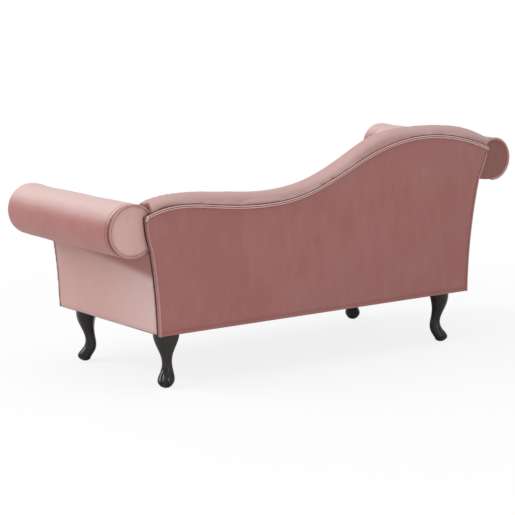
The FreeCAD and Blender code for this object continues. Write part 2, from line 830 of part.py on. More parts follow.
def arm_battens(end):
    """Lengths of timber from board to board: three in the roll, one in the neck, one at the foot."""
    sign = end.sign
    y0 = f"{ARM_BOARD_FACE} + arm_board"
    y1 = f"{ARM_BOARD_BACK} - arm_board"
    roll_x = f"{HALF_X} + {end.name}_roll_out"
    roll_z = f"leg_height + {end.name}_roll_rise"
    near = "batten_reach"
    far = "(batten_reach + batten_thickness)"
    half = "batten_width / 2"
    spans = [
        (f"{roll_x} - {half}", f"{roll_x} + {half}", f"{roll_z} + {near}", f"{roll_z} + {far}"),
        (f"{roll_x} - {half}", f"{roll_x} + {half}", f"{roll_z} - {far}", f"{roll_z} - {near}"),
        (f"{roll_x} + {near}", f"{roll_x} + {far}", f"{roll_z} - {half}", f"{roll_z} + {half}"),
        (f"{IN_X} + cover + padding", f"{IN_X} + cover + padding + neck_batten_width",
         f"{TOP_OF_RAIL} + {near}", f"{TOP_OF_RAIL} + {near} + batten_width"),
    ]
    battens = []
    for x0, x1, z0, z1 in spans:
        a, b = (x0, x1) if sign > 0 else (f"-({x1})", f"-({x0})")
        battens.append(block(f"{end.name}_batten", a, b, y0, y1, z0, z1))
    x0, x1 = IN_X, f"{IN_X} + foot_batten_width"
    a, b = (x0, x1) if sign > 0 else (f"-({x1})", f"-({x0})")
    middle = f"({FRAME} + rail_depth / 2 - arm_bolt_head)"
    foot = block(f"{end.name}_foot_batten", a, b, y0, y1,
                 f"{middle} - foot_batten_height / 2", f"{middle} + foot_batten_height / 2")
    battens.append(bored(foot, arm_bolt_tools(sign), f"{end.name}_foot_batten"))
    keep_group(battens, f"{end.name}_arm_battens")


def arm_soft_layers(end):
    inner_layer = COVER + size("padding")
    foam = slab(end.roll_band(COVER, inner_layer), ARM_BOARD_FRONT, ARM_BOARD_REAR)
    keep_shape(foam, f"{end.name}_arm_padding")
    cover = slab(end.roll_band(0, COVER), ARM_FRONT, ARM_REAR)
    keep_shape(cover, f"{end.name}_arm_inside_cover")
    liner = slab(end.outer_band(COVER, COVER + size("liner"), FRAME_Z), ARM_BOARD_FRONT, ARM_BOARD_REAR)
    keep_shape(liner, f"{end.name}_arm_outside_liner")
    outside = slab(end.outer_band(0, COVER, BASE_Z), ARM_FRONT, ARM_REAR)
    keep_shape(outside, f"{end.name}_arm_outside_cover")


def arm_facings(end):
    outline = end.scroll(COVER + GAP, size("facing_inset"), BASE_Z)
    rear = slab(outline, ARM_BOARD_REAR, ARM_REAR)
    for tool in arm_screw_shapes(end):
        rear = rear.cut(tool)
    keep_shape(rear, f"{end.name}_arm_rear_facing")
    front = slab(outline, ARM_FRONT, ARM_BOARD_FRONT)
    keep_shape(front, f"{end.name}_arm_front_facing")


def arm_welts(end):
    """Cords round the roll between facing and cover, at the rear and at the front."""
    cord = size("ring_cord_radius")
    inset = (COVER + size("facing_inset")) / 2
    cords = []
    edges = end.roll_edges(inset)
    seat = edges[-1].Vertexes[0].Point
    edges[-1] = line(seat, V(seat.x, 0, RAIL_TOP + GAP))
    for y in (ARM_REAR - size("facing") / 2, ARM_FRONT + size("facing") / 2):
        cords.append(cord_along(edges[1:], cord, y))
    keep_shape(Part.makeCompound(cords), f"{end.name}_arm_welts")


def arm_cap(end):
    """Stuffed front end of the roll, with a rounded shoulder and a slightly domed face."""
    radius = end.radius
    shoulder = size("cap_shoulder")
    dome = size("cap_dome")
    tip = ARM_FRONT - size("cap_length")
    face = tip + dome
    rim = radius - shoulder
    bend = shoulder * math.sqrt(0.5)
    ball = (rim * rim + dome * dome) / (2 * dome)
    lean = math.asin(rim / ball) / 2
    middle = end.at(end.roll_x, end.roll_z)

    def at(reach, y):
        return middle + V(reach, y, 0)

    profile = Part.Wire([
        line(at(0, ARM_FRONT), at(radius, ARM_FRONT)),
        line(at(radius, ARM_FRONT), at(radius, face + shoulder)),
        arc(at(radius, face + shoulder), at(rim + bend, face + shoulder - bend), at(rim, face)),
        arc(at(rim, face), at(ball * math.sin(lean), tip + ball * (1 - math.cos(lean))), at(0, tip)),
        line(at(0, tip), at(0, ARM_FRONT)),
    ])
    cap = Part.Face(profile).revolve(middle, V(0, 1, 0), 360)
    keep_shape(cap, f"{end.name}_arm_roll_cap")


# Back


def arm_screw_places(end):
    """Screws through the back board into an arm's rear board."""
    low_z = BASE_Z + size("arm_screw_low_rise")
    high_z = BASE_Z + size("arm_screw_high_rise")
    skin = COVER + size("liner")
    low_x = (INNER_END + end.outer_x(low_z) - skin) / 2
    high_x = (INNER_END + COVER + size("padding") + end.outer_x(high_z) - skin) / 2
    return [(end.sign * low_x, low_z), (end.sign * high_x, high_z)]


def rail_screw_places():
    """Screws through the back board into the rear rail."""
    height = FRAME_Z + size("rail_depth") / 2
    return [(side * size("rail_screw_spacing"), height) for side in (-1, 0, 1)]


def screw_shape(x, z, radius, length):
    return Part.makeCylinder(radius, length, V(x, BOARD_REAR, z), V(0, -1, 0))


def arm_screw_shapes(end):
    return [screw_shape(x, z, size("screw_radius"), size("screw_length")) for x, z in arm_screw_places(end)]


def rail_screw_tools():
    height = f"{FRAME} + rail_depth / 2"
    rear = "base_depth / 2 - cover"
    return [rod("rail_screw_bore", "screw_radius", "screw_length", f"{side} * rail_screw_spacing", rear,
                height, V(0, -1, 0)) for side in (-1, 0, 1)]


def back_screws():
    places = rail_screw_places() + arm_screw_places(LOW) + arm_screw_places(HIGH)
    screws = []
    for x, z in places:
        shank = screw_shape(x, z, size("screw_radius"), size("screw_length"))
        head = screw_shape(x, z, size("screw_head_radius"), size("screw_head"))
        screws.append(shank.fuse(head).removeSplitter())
    keep_shape(Part.makeCompound(screws), "back_screws")
    return screws


def back_board():
    outline = back_outline(COVER, FRAME_Z, COVER)
    board = slab(outline, ARM_REAR, BOARD_REAR)
    board = board.cut(back_screws())
    keep_shape(board, "back_board")


def upright_boxes(clearance):
    """Uprights that stand on the rear rail between the springs' clips, behind the padding."""
    boxes = []
    wide = size("upright_width") / 2 + clearance
    for step in UPRIGHT_STEPS:
        x = step * SPRING_SPACING
        top = height_on(WELT, x) - size("upright_drop") + clearance
        front = ARM_REAR - size("upright_thickness") - clearance
        boxes.append(Part.makeBox(2 * wide, ARM_REAR - front, top - RAIL_TOP, V(x - wide, front, RAIL_TOP)))
    return boxes


def pad_points(x, inset):
    """Points round the back's padding at a place along it: rear, over the crest, down the front."""
    rear = HALF_DEPTH - inset
    top_front = HALF_DEPTH - size("back_pad_top") + inset
    foot_front = HALF_DEPTH - size("back_pad_foot") + inset
    welt = height_on(WELT, x)
    crest = height_on(CREST, x) - inset
    shoulder = welt + size("crest_shoulder_share") * (crest - welt)
    rise = V(x, rear, shoulder)
    over = V(x, (rear + top_front) / 2, crest)
    fall = V(x, top_front, shoulder)
    foot = V(x, foot_front, SEAT_UNDER)
    bow = (fall + foot) * 0.5 - V(0, size("back_pad_bulge"), 0)
    return rise, over, fall, bow, foot


def pad_section(x):
    """The padding under its cover: upright rear, round crest, bowed front."""
    rise, over, fall, bow, foot = pad_points(x, COVER)
    heel = V(x, rise.y, SEAT_UNDER)
    return Part.Wire([line(heel, rise), arc(rise, over, fall), arc(fall, bow, foot), line(foot, heel)])


def pad_cover_section(x):
    """The inside cover: from the welt over the crest and down the front."""
    rise, over, fall, bow, foot = pad_points(x, 0)
    under_rise, under_over, under_fall, under_bow, under_foot = pad_points(x, COVER)
    hem = V(x, rise.y, height_on(WELT, x))
    under_hem = V(x, under_rise.y, hem.z)
    return Part.Wire([
        line(hem, rise),
        arc(rise, over, fall),
        arc(fall, bow, foot),
        line(foot, under_foot),
        arc(under_foot, under_bow, under_fall),
        arc(under_fall, under_over, under_rise),
        line(under_rise, under_hem),
        line(under_hem, hem),
    ])


def pad_places():
    """Where the padding's sections stand, from above the low roll to above the high one."""
    places = [LOW.tip_x - size("facing_inset")]
    places += [x for x, z, crest in STATIONS[1:-1]]
    places.append(-HIGH.tip_x)
    places.append(OVERHANG.x)
    return places


def pad_loft(section):
    return Part.makeLoft([section(x) for x in pad_places()], True, False)


def board_space():
    """What the back board and its cover fill, with a little room, cut from the padding."""
    outline = back_outline(-GAP, RAIL_TOP - OVERCUT, -GAP)
    return slab(outline, ARM_REAR - GAP, HALF_DEPTH + OVERCUT)


def arm_space(end):
    """What the arm fills under and outside its roll, with a little room."""
    over_top = end.roll_edges(-GAP)[2:]
    outermost = over_top[0].Vertexes[0].Point
    tuck = over_top[-1].Vertexes[-1].Point
    below = V(outermost.x, 0, tuck.z)
    return slab(over_top + [line(tuck, below), line(below, outermost)], ARM_FRONT, ARM_REAR + GAP)


def side_space(end, reach):
    """What lies outside the board at one end, under a line that leaves its top corner."""
    tip = end.tip(-GAP, 0)
    stop = tip + reach
    floor = RAIL_TOP - OVERCUT
    corners_round = [tip, stop, V(stop.x, 0, floor), end.at(INNER_END, floor), end.at(INNER_END, tip.z)]
    sides = [line(p, q) for p, q in zip(corners_round, corners_round[1:] + corners_round[:1])]
    return slab(sides, ARM_REAR, HALF_DEPTH + OVERCUT)


def back_soft_layers():
    """Padding and inside cover, cut to lie on the arms, the uprights and the board."""
    cutters = [board_space()] + upright_boxes(GAP)
    cutters.append(side_space(LOW, LOW.at(LOW.radius, 0)))
    cutters.append(side_space(HIGH, (OVERHANG - HIGH.tip(-GAP, 0)) * 2))
    cutters += [arm_space(end) for end in ENDS]
    padding = pad_loft(pad_section).cut(cutters)
    cover = pad_loft(pad_cover_section).cut(cutters)
    keep_shape(Part.makeCompound(upright_boxes(0)), "back_uprights")
    keep_shape(largest(padding), "back_padding")
    keep_shape(largest(cover), "back_inside_cover")


def largest(shape):
    return max(shape.Solids, key=lambda solid: solid.Volume)


def back_outside_cover():
    """The flat outside cover, turned round the edges of the board."""
    outer = slab(back_outline(0, BASE_Z, 0), ARM_REAR, HALF_DEPTH)
    room = slab(back_outline(COVER, BASE_Z - COVER, COVER), ARM_REAR - COVER, BOARD_REAR)
    keep_shape(largest(outer.cut(room)), "back_outside_cover")


def biarcs(curve):
    return [piece.toShape() for piece in curve.toBiArcs(ARC_TOLERANCE)]


def back_welts():
    """Two cords along the top and one down each side, all on the outside cover."""
    cord = size("cord_radius")
    rear = HALF_DEPTH + cord
    tops = []
    for lift in (-cord, cord):
        line_points = [V(x, 0, z + lift) for x, z, crest in STATIONS]
        tops.append(cord_along(biarcs(curve_through(line_points)), cord, rear))
    keep_shape(Part.makeCompound(tops), "back_top_welt")
    sides = [cord_along(end.side_edges(cord, BASE_Z, 3 * cord), cord, rear) for end in ENDS]
    keep_shape(Part.makeCompound(sides), "back_side_welts")


def build_all():
    base_frame()
    corner_blocks()
    leg_plates()
    arm_bolts()
    dust_cover()
    legs()
    springs()
    insulator()
    seat()
    for end in ENDS:
        arm_boards(end)
        arm_battens(end)
        arm_soft_layers(end)
        arm_facings(end)
        arm_welts(end)
        arm_cap(end)
    back_board()
    back_soft_layers()
    back_outside_cover()
    back_welts()
    doc.recompute()


def check_and_write():
    for thing in doc.Objects:
        if "Invalid" in thing.State or "Error" in thing.State:
            raise RuntimeError(f"{thing.Label} did not build: {thing.State}")
    for piece in pieces:
        if piece.Shape.isNull() or not piece.Shape.isValid():
            raise RuntimeError(f"{piece.Label} has no sound shape")
    os.makedirs("parts", exist_ok=True)
    for piece in pieces:
        piece.Shape.exportStep(f"parts/{piece.Label}.step")
    print(len(pieces), "sub-parts written")


build_all()
check_and_write()
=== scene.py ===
import json
import math

import bpy
import numpy as np
from bpy.props import FloatProperty, FloatVectorProperty, PointerProperty
from bpy.types import Operator, Panel, PropertyGroup
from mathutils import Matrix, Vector


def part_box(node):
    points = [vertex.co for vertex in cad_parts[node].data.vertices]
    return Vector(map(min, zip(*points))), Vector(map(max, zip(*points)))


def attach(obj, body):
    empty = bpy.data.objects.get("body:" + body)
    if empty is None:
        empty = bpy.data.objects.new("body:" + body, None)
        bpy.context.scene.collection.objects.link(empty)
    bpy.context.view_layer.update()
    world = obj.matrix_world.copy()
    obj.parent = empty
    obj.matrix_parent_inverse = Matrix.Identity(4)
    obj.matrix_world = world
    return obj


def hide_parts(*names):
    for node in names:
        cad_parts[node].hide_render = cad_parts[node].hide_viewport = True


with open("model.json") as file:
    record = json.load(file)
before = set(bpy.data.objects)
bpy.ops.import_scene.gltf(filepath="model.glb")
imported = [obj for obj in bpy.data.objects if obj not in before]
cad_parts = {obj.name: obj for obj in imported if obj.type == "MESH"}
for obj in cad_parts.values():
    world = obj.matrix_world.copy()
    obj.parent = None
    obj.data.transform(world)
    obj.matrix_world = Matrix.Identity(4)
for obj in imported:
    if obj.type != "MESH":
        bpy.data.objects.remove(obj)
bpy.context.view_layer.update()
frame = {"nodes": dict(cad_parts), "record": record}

bl_info = {
    "name": "Chaise longue looks",
    "version": (1, 0, 0),
    "blender": (4, 5, 0),
    "location": "View3D > Sidebar > Chaise",
    "description": "Upholstery, legs and stage of a velvet chaise longue round its packed frame",
    "category": "Object",
}

# Planes of the frame that the covers follow, in metres
ARM_LOW, ARM_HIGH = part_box("low_arm_outside_cover")
ARM_FRONT, ARM_REAR = ARM_LOW.y, ARM_HIGH.y
BASE_Z = ARM_LOW.z
RAIL_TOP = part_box("front_rail")[1].z
BACK_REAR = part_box("back_outside_cover")[1].y
SEAT_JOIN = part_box("seat_cover")[1].z - 0.014

# Frames that the cloth is given to fill out
STUFFING_FRAMES = 14

# Places of the arm's pieces along the depth: their ends, their piping and the drawn-in lines
CUSHION_ENDS = (ARM_FRONT + 0.005, ARM_REAR - 0.008)
PANEL_ENDS = (ARM_FRONT + 0.001, ARM_REAR - 0.001)
FACING_ENDS = {"rear": (ARM_REAR - 0.010, ARM_REAR - 0.003), "front": (ARM_FRONT, ARM_FRONT + 0.006)}
PIPING_PLACES = (ARM_FRONT + 0.003, ARM_REAR - 0.002)
DRAWN_IN = (ARM_REAR - 0.015, ARM_REAR - 0.029)

# How far the cap's rim laps back over the roll, and how full its front is against the frame's own
CAP_RIM = ARM_FRONT - 0.003
CAP_LAP = 0.026
CAP_FULLNESS = 1.35

# How far the panel laps the cushion, and the facing stands in from the outside of the arm
PANEL_LAP = 0.0005
FACING_SET_IN = 0.0028

# The crest's low end is pressed together beyond this distance from the back's edge
CREST_STOP = 0.030
CREST_SQUEEZE = 0.25
GATHER_SPACING = 0.024

# Grids of the thin covers and the legs, and the spacing of points along the piping
COVER_GRID = 0.003
LEG_GRID = 0.0018
PIPING_STEP = 0.004

# Painted light on each rear facing: how far its colour is moved towards the paler sheen colours, and its
# brightness; a lit copy of the velvet at the low end, a shaded one at the high end
FACING_PAINTED_LIGHT = {("low", "rear"): (1.0, 1.16), ("high", "rear"): (0.0, 0.74)}

# Folded end of the double piping, in radii of the piping
KNOT = ((0.0, 0.2, 1.6), (-1.6, 0.6, 0.0), (-0.6, 0.4, -2.0), (0.4, 0.0, -4.2))

# Painted shadow: thin near-black cords that stand in for the shade beside and between the double piping,
# placed outwards and upwards in radii of the piping
SHADOW_CORDS = ((1.5, 0.0), (0.8, 2.4))

FLOAT, COLOUR, VECTOR = "NodeSocketFloat", "NodeSocketColor", "NodeSocketVector"


# Sizes and colours that a user can change


def length(name, description, default):
    return FloatProperty(name=name, description=description, default=default, unit="LENGTH",
                         subtype="DISTANCE")


def turn(name, description, default):
    return FloatProperty(name=name, description=description, default=math.radians(default), subtype="ANGLE")


def colour(name, description, default):
    return FloatVectorProperty(name=name, description=description, default=default, size=3, subtype="COLOR",
                               min=0.0, max=1.0)


class LowArmSizes(PropertyGroup):
    """Scroll of the arm at the foot end"""

    side: FloatProperty(name="Side", description="Which way the arm faces along the seat", default=1.0)
    roll_x: length("Roll place", "Middle of the roll along the seat", 0.745)
    roll_z: length("Roll height", "Middle of the roll above the floor", 0.516)
    radius: length("Roll radius", "Outside of the roll's cover", 0.086)
    neck: turn("Neck", "Where the roll turns under into the neck", -128.0)
    neck_length: length("Neck length", "Straight stretch between roll and crease", 0.003)
    inner: turn("Inner turn", "Where the roll leaves for the seat", 140.0)
    inner_x: length("Inside face", "Inside of the arm at the seat", 0.620)
    foot_x: length("Outside foot", "Outside of the arm at the base", 0.662)
    lean: length("Lean", "How far the outside bows", 0.008)


class HighArmSizes(PropertyGroup):
    """Scroll of the arm at the head end"""

    side: FloatProperty(name="Side", description="Which way the arm faces along the seat", default=-1.0)
    roll_x: length("Roll place", "Middle of the roll along the seat", -0.755)
    roll_z: length("Roll height", "Middle of the roll above the floor", 0.631)
    radius: length("Roll radius", "Outside of the roll's cover", 0.076)
    neck: turn("Neck", "Where the roll turns under into the neck", -98.0)
    neck_length: length("Neck length", "Straight stretch between roll and crease", 0.078)
    inner: turn("Inner turn", "Where the roll leaves for the seat", 130.0)
    inner_x: length("Inside face", "Inside of the arm at the seat", -0.580)
    foot_x: length("Outside foot", "Outside of the arm at the base", -0.622)
    lean: length("Lean", "How far the outside bows", 0.011)


class UpholsterySizes(PropertyGroup):
    """Padding, piping and sewing of all covers"""

    voxel: length("Cloth grid", "Spacing of the cloth's points before it is stuffed", 0.008)
    fine_voxel: length("Fine cloth grid", "The same for the thin panels and the roll caps", 0.006)
    panel: length("Panel depth", "Depth of the padded panel outside each arm", 0.012)
    facing_inset: length("Facing inset", "From the roll's cover in to its facing", 0.0065)
    piping_inset: length("Piping inset", "From the roll's cover in to the middle of its piping", 0.006)
    cord: length("Back piping", "Radius of the piping on the back", 0.0025)
    ring_cord: length("Arm piping", "Radius of the piping on the arms and seat", 0.0029)
    rim_cord: length("Rim", "Radius of the rim round the rear end of each arm", 0.0045)
    hem: length("Hem", "Height of the sewn line above the bottom edge", 0.014)
    grid: length("Panel grid", "Spacing of the points on the stretched panels", 0.018)


class FinishColours(PropertyGroup):
    """Colours of the finishes that show"""

    velvet: colour("Velvet", "Pile seen from straight on", (0.345, 0.134, 0.123))
    # Painted light: the sheen colour is painted into the velvet where it is seen at a glancing angle and on
    # its lit copies
    velvet_light: colour("Velvet sheen", "Pile seen along its tips", (0.560, 0.330, 0.305))
    # Painted highlight: this pale colour is painted where the velvet faces up, towards the rear of some
    # pieces and on its lit copies
    velvet_painted_highlight: colour("Pale velvet", "Pile brushed flat towards the light", (0.690, 0.530, 0.508))
    lacquer: colour("Leg lacquer", "Dark lacquer of the legs", (0.0130, 0.0106, 0.0102))
    floor: colour("Floor", "Pale floor", (0.86, 0.86, 0.86))


class CameraPlace(PropertyGroup):
    """Camera of the main view"""

    azimuth: turn("Azimuth", "Turn round the object", 143.32)
    elevation: turn("Elevation", "Height above the horizon", 9.83)
    distance: length("Distance", "From the middle of the base", 6.6547)
    right: length("Right", "Shift to the right", -0.03164)
    up: length("Up", "Shift upwards", 0.31682)
    lens: FloatProperty(name="Lens", description="Focal length in millimetres", default=135.8)


# Working on meshes


def only(obj):
    """Select one object and nothing else."""
    if bpy.context.object and bpy.context.object.mode != "OBJECT":
        bpy.ops.object.mode_set(mode="OBJECT")
    bpy.ops.object.select_all(action="DESELECT")
    obj.hide_set(False)
    obj.select_set(True)
    bpy.context.view_layer.objects.active = obj


def edit_all(obj, operator, **settings):
    """Run a mesh operator on everything in one object."""
    only(obj)
    bpy.ops.object.mode_set(mode="EDIT")
    bpy.ops.mesh.select_all(action="SELECT")
    operator(**settings)
    bpy.ops.object.mode_set(mode="OBJECT")


def apply(obj, kind, **settings):
    """Add a modifier, set it and apply it."""
    only(obj)
    modifier = obj.modifiers.new(kind.lower(), kind)
    for name, value in settings.items():
        setattr(modifier, name, value)
    bpy.ops.object.modifier_apply(modifier=modifier.name)


def points_of(obj):
    flat = np.empty(len(obj.data.vertices) * 3, np.float32)
    obj.data.vertices.foreach_get("co", flat)
    return flat.reshape(-1, 3).astype(float)


def set_points(obj, points):
    obj.data.vertices.foreach_set("co", points.astype(np.float32).ravel())
    obj.data.update()


def normals_of(obj):
    flat = np.empty(len(obj.data.vertices) * 3, np.float32)
    obj.data.vertices.foreach_get("normal", flat)
    return flat.reshape(-1, 3).astype(float)


def new_piece(name, points, edges=(), faces=()):
    mesh = bpy.data.meshes.new(name)
    mesh.from_pydata([tuple(p) for p in points], list(edges), list(faces))
    obj = bpy.data.objects.new(name, mesh)
    bpy.context.scene.collection.objects.link(obj)
    return obj


def copy_of(name, *nodes):
    """One merged mesh from copies of the frame's own pieces."""
    copies = []
    for node in nodes:
        copy = bpy.data.objects.new(name, frame["nodes"][node].data.copy())
        copy.data.materials.clear()
        bpy.context.scene.collection.objects.link(copy)
        copies.append(copy)
    only(copies[0])
    for copy in copies[1:]:
        copy.select_set(True)
    if len(copies) > 1:
        bpy.ops.object.join()
    piece = bpy.context.object
    piece.name = name
    edit_all(piece, bpy.ops.mesh.remove_doubles, threshold=1e-5)
    return piece


def prism(name, outline, y0, y1):
    """A closed outline across the object, filled and extruded along the depth."""
    count = len(outline)
    edges = [(i, (i + 1) % count) for i in range(count)]
    piece = new_piece(name, [(x, y0, z) for x, z in outline], edges)
    edit_all(piece, bpy.ops.mesh.edge_face_add)
    only(piece)
    bpy.ops.object.mode_set(mode="EDIT")
    bpy.ops.mesh.select_all(action="SELECT")
    bpy.ops.mesh.extrude_region_move(TRANSFORM_OT_translate={"value": (0, y1 - y0, 0)})
    bpy.ops.mesh.select_all(action="SELECT")
    bpy.ops.mesh.normals_make_consistent(inside=False)
    bpy.ops.object.mode_set(mode="OBJECT")
    return piece


def stuff(piece, pressure, cap, shrink=0.0015, fine=False):
    """Padding: an even cloth grid, filled under pressure, with its travel limited."""
    sizes = bpy.context.scene.chaise_upholstery
    grid = sizes.fine_voxel if fine else sizes.voxel
    apply(piece, "REMESH", mode="VOXEL", voxel_size=grid, use_smooth_shade=True)
    apply(piece, "DISPLACE", strength=-shrink, mid_level=0.0)
    rest = points_of(piece)
    only(piece)
    cloth = piece.modifiers.new("stuffing", "CLOTH")
    cloth.settings.quality = 4
    cloth.settings.use_pressure = True
    cloth.settings.uniform_pressure_force = pressure
    cloth.settings.effector_weights.gravity = 0.0
    cloth.collision_settings.use_collision = False
    cloth.point_cache.frame_start = 1
    cloth.point_cache.frame_end = STUFFING_FRAMES
    for step in range(1, STUFFING_FRAMES + 1):
        bpy.context.scene.frame_set(step)
    bpy.ops.object.modifier_apply(modifier=cloth.name)
    travel = points_of(piece) - rest
    far = np.linalg.norm(travel, axis=1, keepdims=True)
    set_points(piece, rest + travel * np.minimum(1.0, cap / np.maximum(far, 1e-9)))
    bpy.context.scene.frame_set(1)
    apply(piece, "SMOOTH", factor=0.5, iterations=2)
    apply(piece, "SUBSURF", levels=1, render_levels=1)
    edit_all(piece, bpy.ops.mesh.normals_make_consistent, inside=False)


def regrid(piece, size, smoothing):
    """An even grid over a thin or carved piece, then softened."""
    apply(piece, "REMESH", mode="VOXEL", voxel_size=size, use_smooth_shade=True)
    apply(piece, "SMOOTH", factor=0.5, iterations=smoothing)


def ripple(points, seed, wave):
    """Soft uneven swell over a surface, from -1 to 1, the same each run."""
    numbers = np.random.default_rng(seed)
    total = np.zeros(len(points))
    for _ in range(7):
        heading = numbers.normal(size=3)
        heading /= np.linalg.norm(heading)
        pitch = wave * numbers.uniform(0.6, 1.6)
        total += np.sin(points @ heading * 2 * math.pi / pitch + numbers.uniform(0, 6.28))
    return total / 4.0


def push(piece, amounts):
    """Move each point along its normal."""
    set_points(piece, points_of(piece) + normals_of(piece) * np.asarray(amounts)[:, None])


def swell(piece, amount, seed, wave):
    """Give a cover the soft unevenness of its padding."""
    push(piece, amount * ripple(points_of(piece), seed, wave))


def bump_at(values, middle, width):
    return np.exp(-((values - middle) / width) ** 2)


def finish_piece(piece, material, replaced=(), smooth=True):
    """What every finished piece gets: its finish, shading and place in the frame."""
    piece.data.materials.clear()
    piece.data.materials.append(material)
    if smooth:
        only(piece)
        bpy.ops.object.shade_smooth()
    if replaced:
        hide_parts(*replaced)
    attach(piece, "root")


# Lines that the covers follow


def arc_points(a, through, b, steps):
    """Points on the circle through three points, from the first to the last."""
    (ax, az), (mx, mz), (bx, bz) = a, through, b
    d = 2 * (ax * (mz - bz) + mx * (bz - az) + bx * (az - mz))
    aa, mm, bb = ax * ax + az * az, mx * mx + mz * mz, bx * bx + bz * bz
    ux = (aa * (mz - bz) + mm * (bz - az) + bb * (az - mz)) / d
    uz = (aa * (bx - mx) + mm * (ax - bx) + bb * (mx - ax)) / d
    radius = math.hypot(ax - ux, az - uz)
    start = math.atan2(az - uz, ax - ux)
    middle = (math.atan2(mz - uz, mx - ux) - start) % (2 * math.pi)
    sweep = (math.atan2(bz - uz, bx - ux) - start) % (2 * math.pi)
    if middle > sweep:
        sweep -= 2 * math.pi
    turns = [start + sweep * i / steps for i in range(steps + 1)]
    return [(ux + radius * math.cos(t), uz + radius * math.sin(t)) for t in turns]


def on_roll(arm, radius, angle):
    return arm.roll_x + arm.side * radius * math.cos(angle), arm.roll_z + radius * math.sin(angle)


def crease(arm, inset=0.0):
    """Where the underside of the roll meets the outside of the arm."""
    x, z = on_roll(arm, arm.radius - inset, arm.neck)
    return x + arm.side * math.sin(arm.neck) * arm.neck_length, z - math.cos(arm.neck) * arm.neck_length


def outside_line(arm, inset, foot, steps=24):
    """Outside of the arm from its foot up to the crease."""
    top = crease(arm)
    bow = (arm.foot_x + arm.side * arm.lean, (BASE_Z + top[1]) / 2)
    line = arc_points((arm.foot_x, BASE_Z), bow, top, steps)
    return [(x - arm.side * inset, z) for x, z in line if z > foot - 1e-6]


def roll_line(arm, inset, steps=48):
    """From the crease round the roll, over its top and down the inside to the rail."""
    radius = arm.radius - inset
    sweep = arm.inner - arm.neck
    line = [crease(arm, inset)]
    line += [on_roll(arm, radius, arm.neck + sweep * i / steps) for i in range(steps + 1)]
    shoulder = line[-1]
    seat = (arm.inner_x + arm.side * inset, SEAT_JOIN)
    chord_x = (seat[0] - shoulder[0]) * arm.side
    chord_z = seat[1] - shoulder[1]
    swing = math.remainder(math.atan2(chord_z, chord_x) - (arm.inner + math.pi / 2), 2 * math.pi)
    bulge = math.tan(swing / 2) / 2
    middle = ((shoulder[0] + seat[0]) / 2 + arm.side * bulge * chord_z,
              (shoulder[1] + seat[1]) / 2 - bulge * chord_x)
    line += arc_points(shoulder, middle, seat, steps // 2)[1:]
    line.append((arm.inner_x + arm.side * inset, RAIL_TOP))
    return line


def even(line, spacing):
    """The same line with points at an even spacing."""
    line = np.array(line, float)
    run = np.concatenate([[0], np.cumsum(np.linalg.norm(np.diff(line, axis=0), axis=1))])
    count = max(2, int(round(run[-1] / spacing)) + 1)
    places = np.linspace(0, run[-1], count)
    return np.stack([np.interp(places, run, line[:, i]) for i in range(line.shape[1])], axis=1)


def back_chains():
    """Sides and top of the back's rear face, read from the frame's own cover."""
    node = copy_of("back_edge_reader", "back_outside_cover")
    mesh = node.data
    faces = [f for f in mesh.polygons if f.normal.y > 0.99 and abs(f.center.y - BACK_REAR) < 1e-4]
    uses = {}
    for face in faces:
        for key in face.edge_keys:
            uses[key] = uses.get(key, 0) + 1
    ring = {}
    for (a, b), count in uses.items():
        if count == 1:
            ring.setdefault(a, []).append(b)
            ring.setdefault(b, []).append(a)
    start = next(iter(ring))
    loop = [start]
    last = None
    while True:
        onward = [v for v in ring[loop[-1]] if v != last]
        last = loop[-1]
        if onward[0] == start:
            break
        loop.append(onward[0])
    flat = [(mesh.vertices[i].co.x, mesh.vertices[i].co.z) for i in loop]
    bpy.data.objects.remove(node)
    places = range(len(flat))
    low_foot, high_foot = [min(places, key=lambda i: (flat[i][1] > BASE_Z + 1e-4, -side * flat[i][0]))
                           for side in (1, -1)]
    low_tip, high_tip = [max(places, key=lambda i: side * flat[i][0]) for side in (1, -1)]
    return {
        "low_side": chain(flat, low_foot, low_tip),
        "top": chain(flat, low_tip, high_tip),
        "high_side": chain(flat, high_foot, high_tip),
    }


def chain(loop, start, stop):
    """The way round a loop between two of its points that doesn't pass along the bottom."""
    count = len(loop)
    forward = [loop[(start + i) % count] for i in range((stop - start) % count + 1)]
    backward = [loop[(start - i) % count] for i in range((start - stop) % count + 1)]
    low = BASE_Z + 1e-4
    return min((forward, backward), key=lambda way: (sum(p[1] < low for p in way[1:-1]), len(way)))


def cords(name, lines, radius, thicker=()):
    """Round piping along one or more lines, closed at its ends; the last lines can be thicker."""
    data = bpy.data.curves.new(name, "CURVE")
    data.dimensions = "3D"
    data.bevel_depth = radius
    data.bevel_resolution = 3
    data.use_fill_caps = True
    widths = [1.0] * (len(lines) - len(thicker)) + list(thicker)
    for line, width in zip(lines, widths):
        spline = data.splines.new("POLY")
        spline.points.add(len(line) - 1)
        for point, place in zip(spline.points, line):
            point.co = (*place, 1.0)
            point.radius = width
    piece = bpy.data.objects.new(name, data)
    bpy.context.scene.collection.objects.link(piece)
    only(piece)
    bpy.ops.object.convert(target="MESH")
    piece = bpy.context.object
    edit_all(piece, bpy.ops.mesh.remove_doubles, threshold=1e-5)
    edit_all(piece, bpy.ops.mesh.normals_make_consistent, inside=False)
    return piece


# Node groups shared by the finishes


def add(tree, kind, inputs=None, **settings):
    """Add a shader node, set it, and feed its inputs with values or other sockets."""
    made = tree.nodes.new(kind)
    for name, value in settings.items():
        setattr(made, name, value)
    for name, value in (inputs or {}).items():
        if isinstance(value, bpy.types.NodeSocket):
            tree.links.new(value, made.inputs[name])
        else:
            made.inputs[name].default_value = value
    return made


def maths(tree, operation, *values):
    return add(tree, "ShaderNodeMath", dict(enumerate(values)), operation=operation).outputs[0]


def blend_colours(tree, factor, first, second):
    return add(tree, "ShaderNodeMix", {0: factor, 6: first, 7: second}, data_type="RGBA").outputs[2]


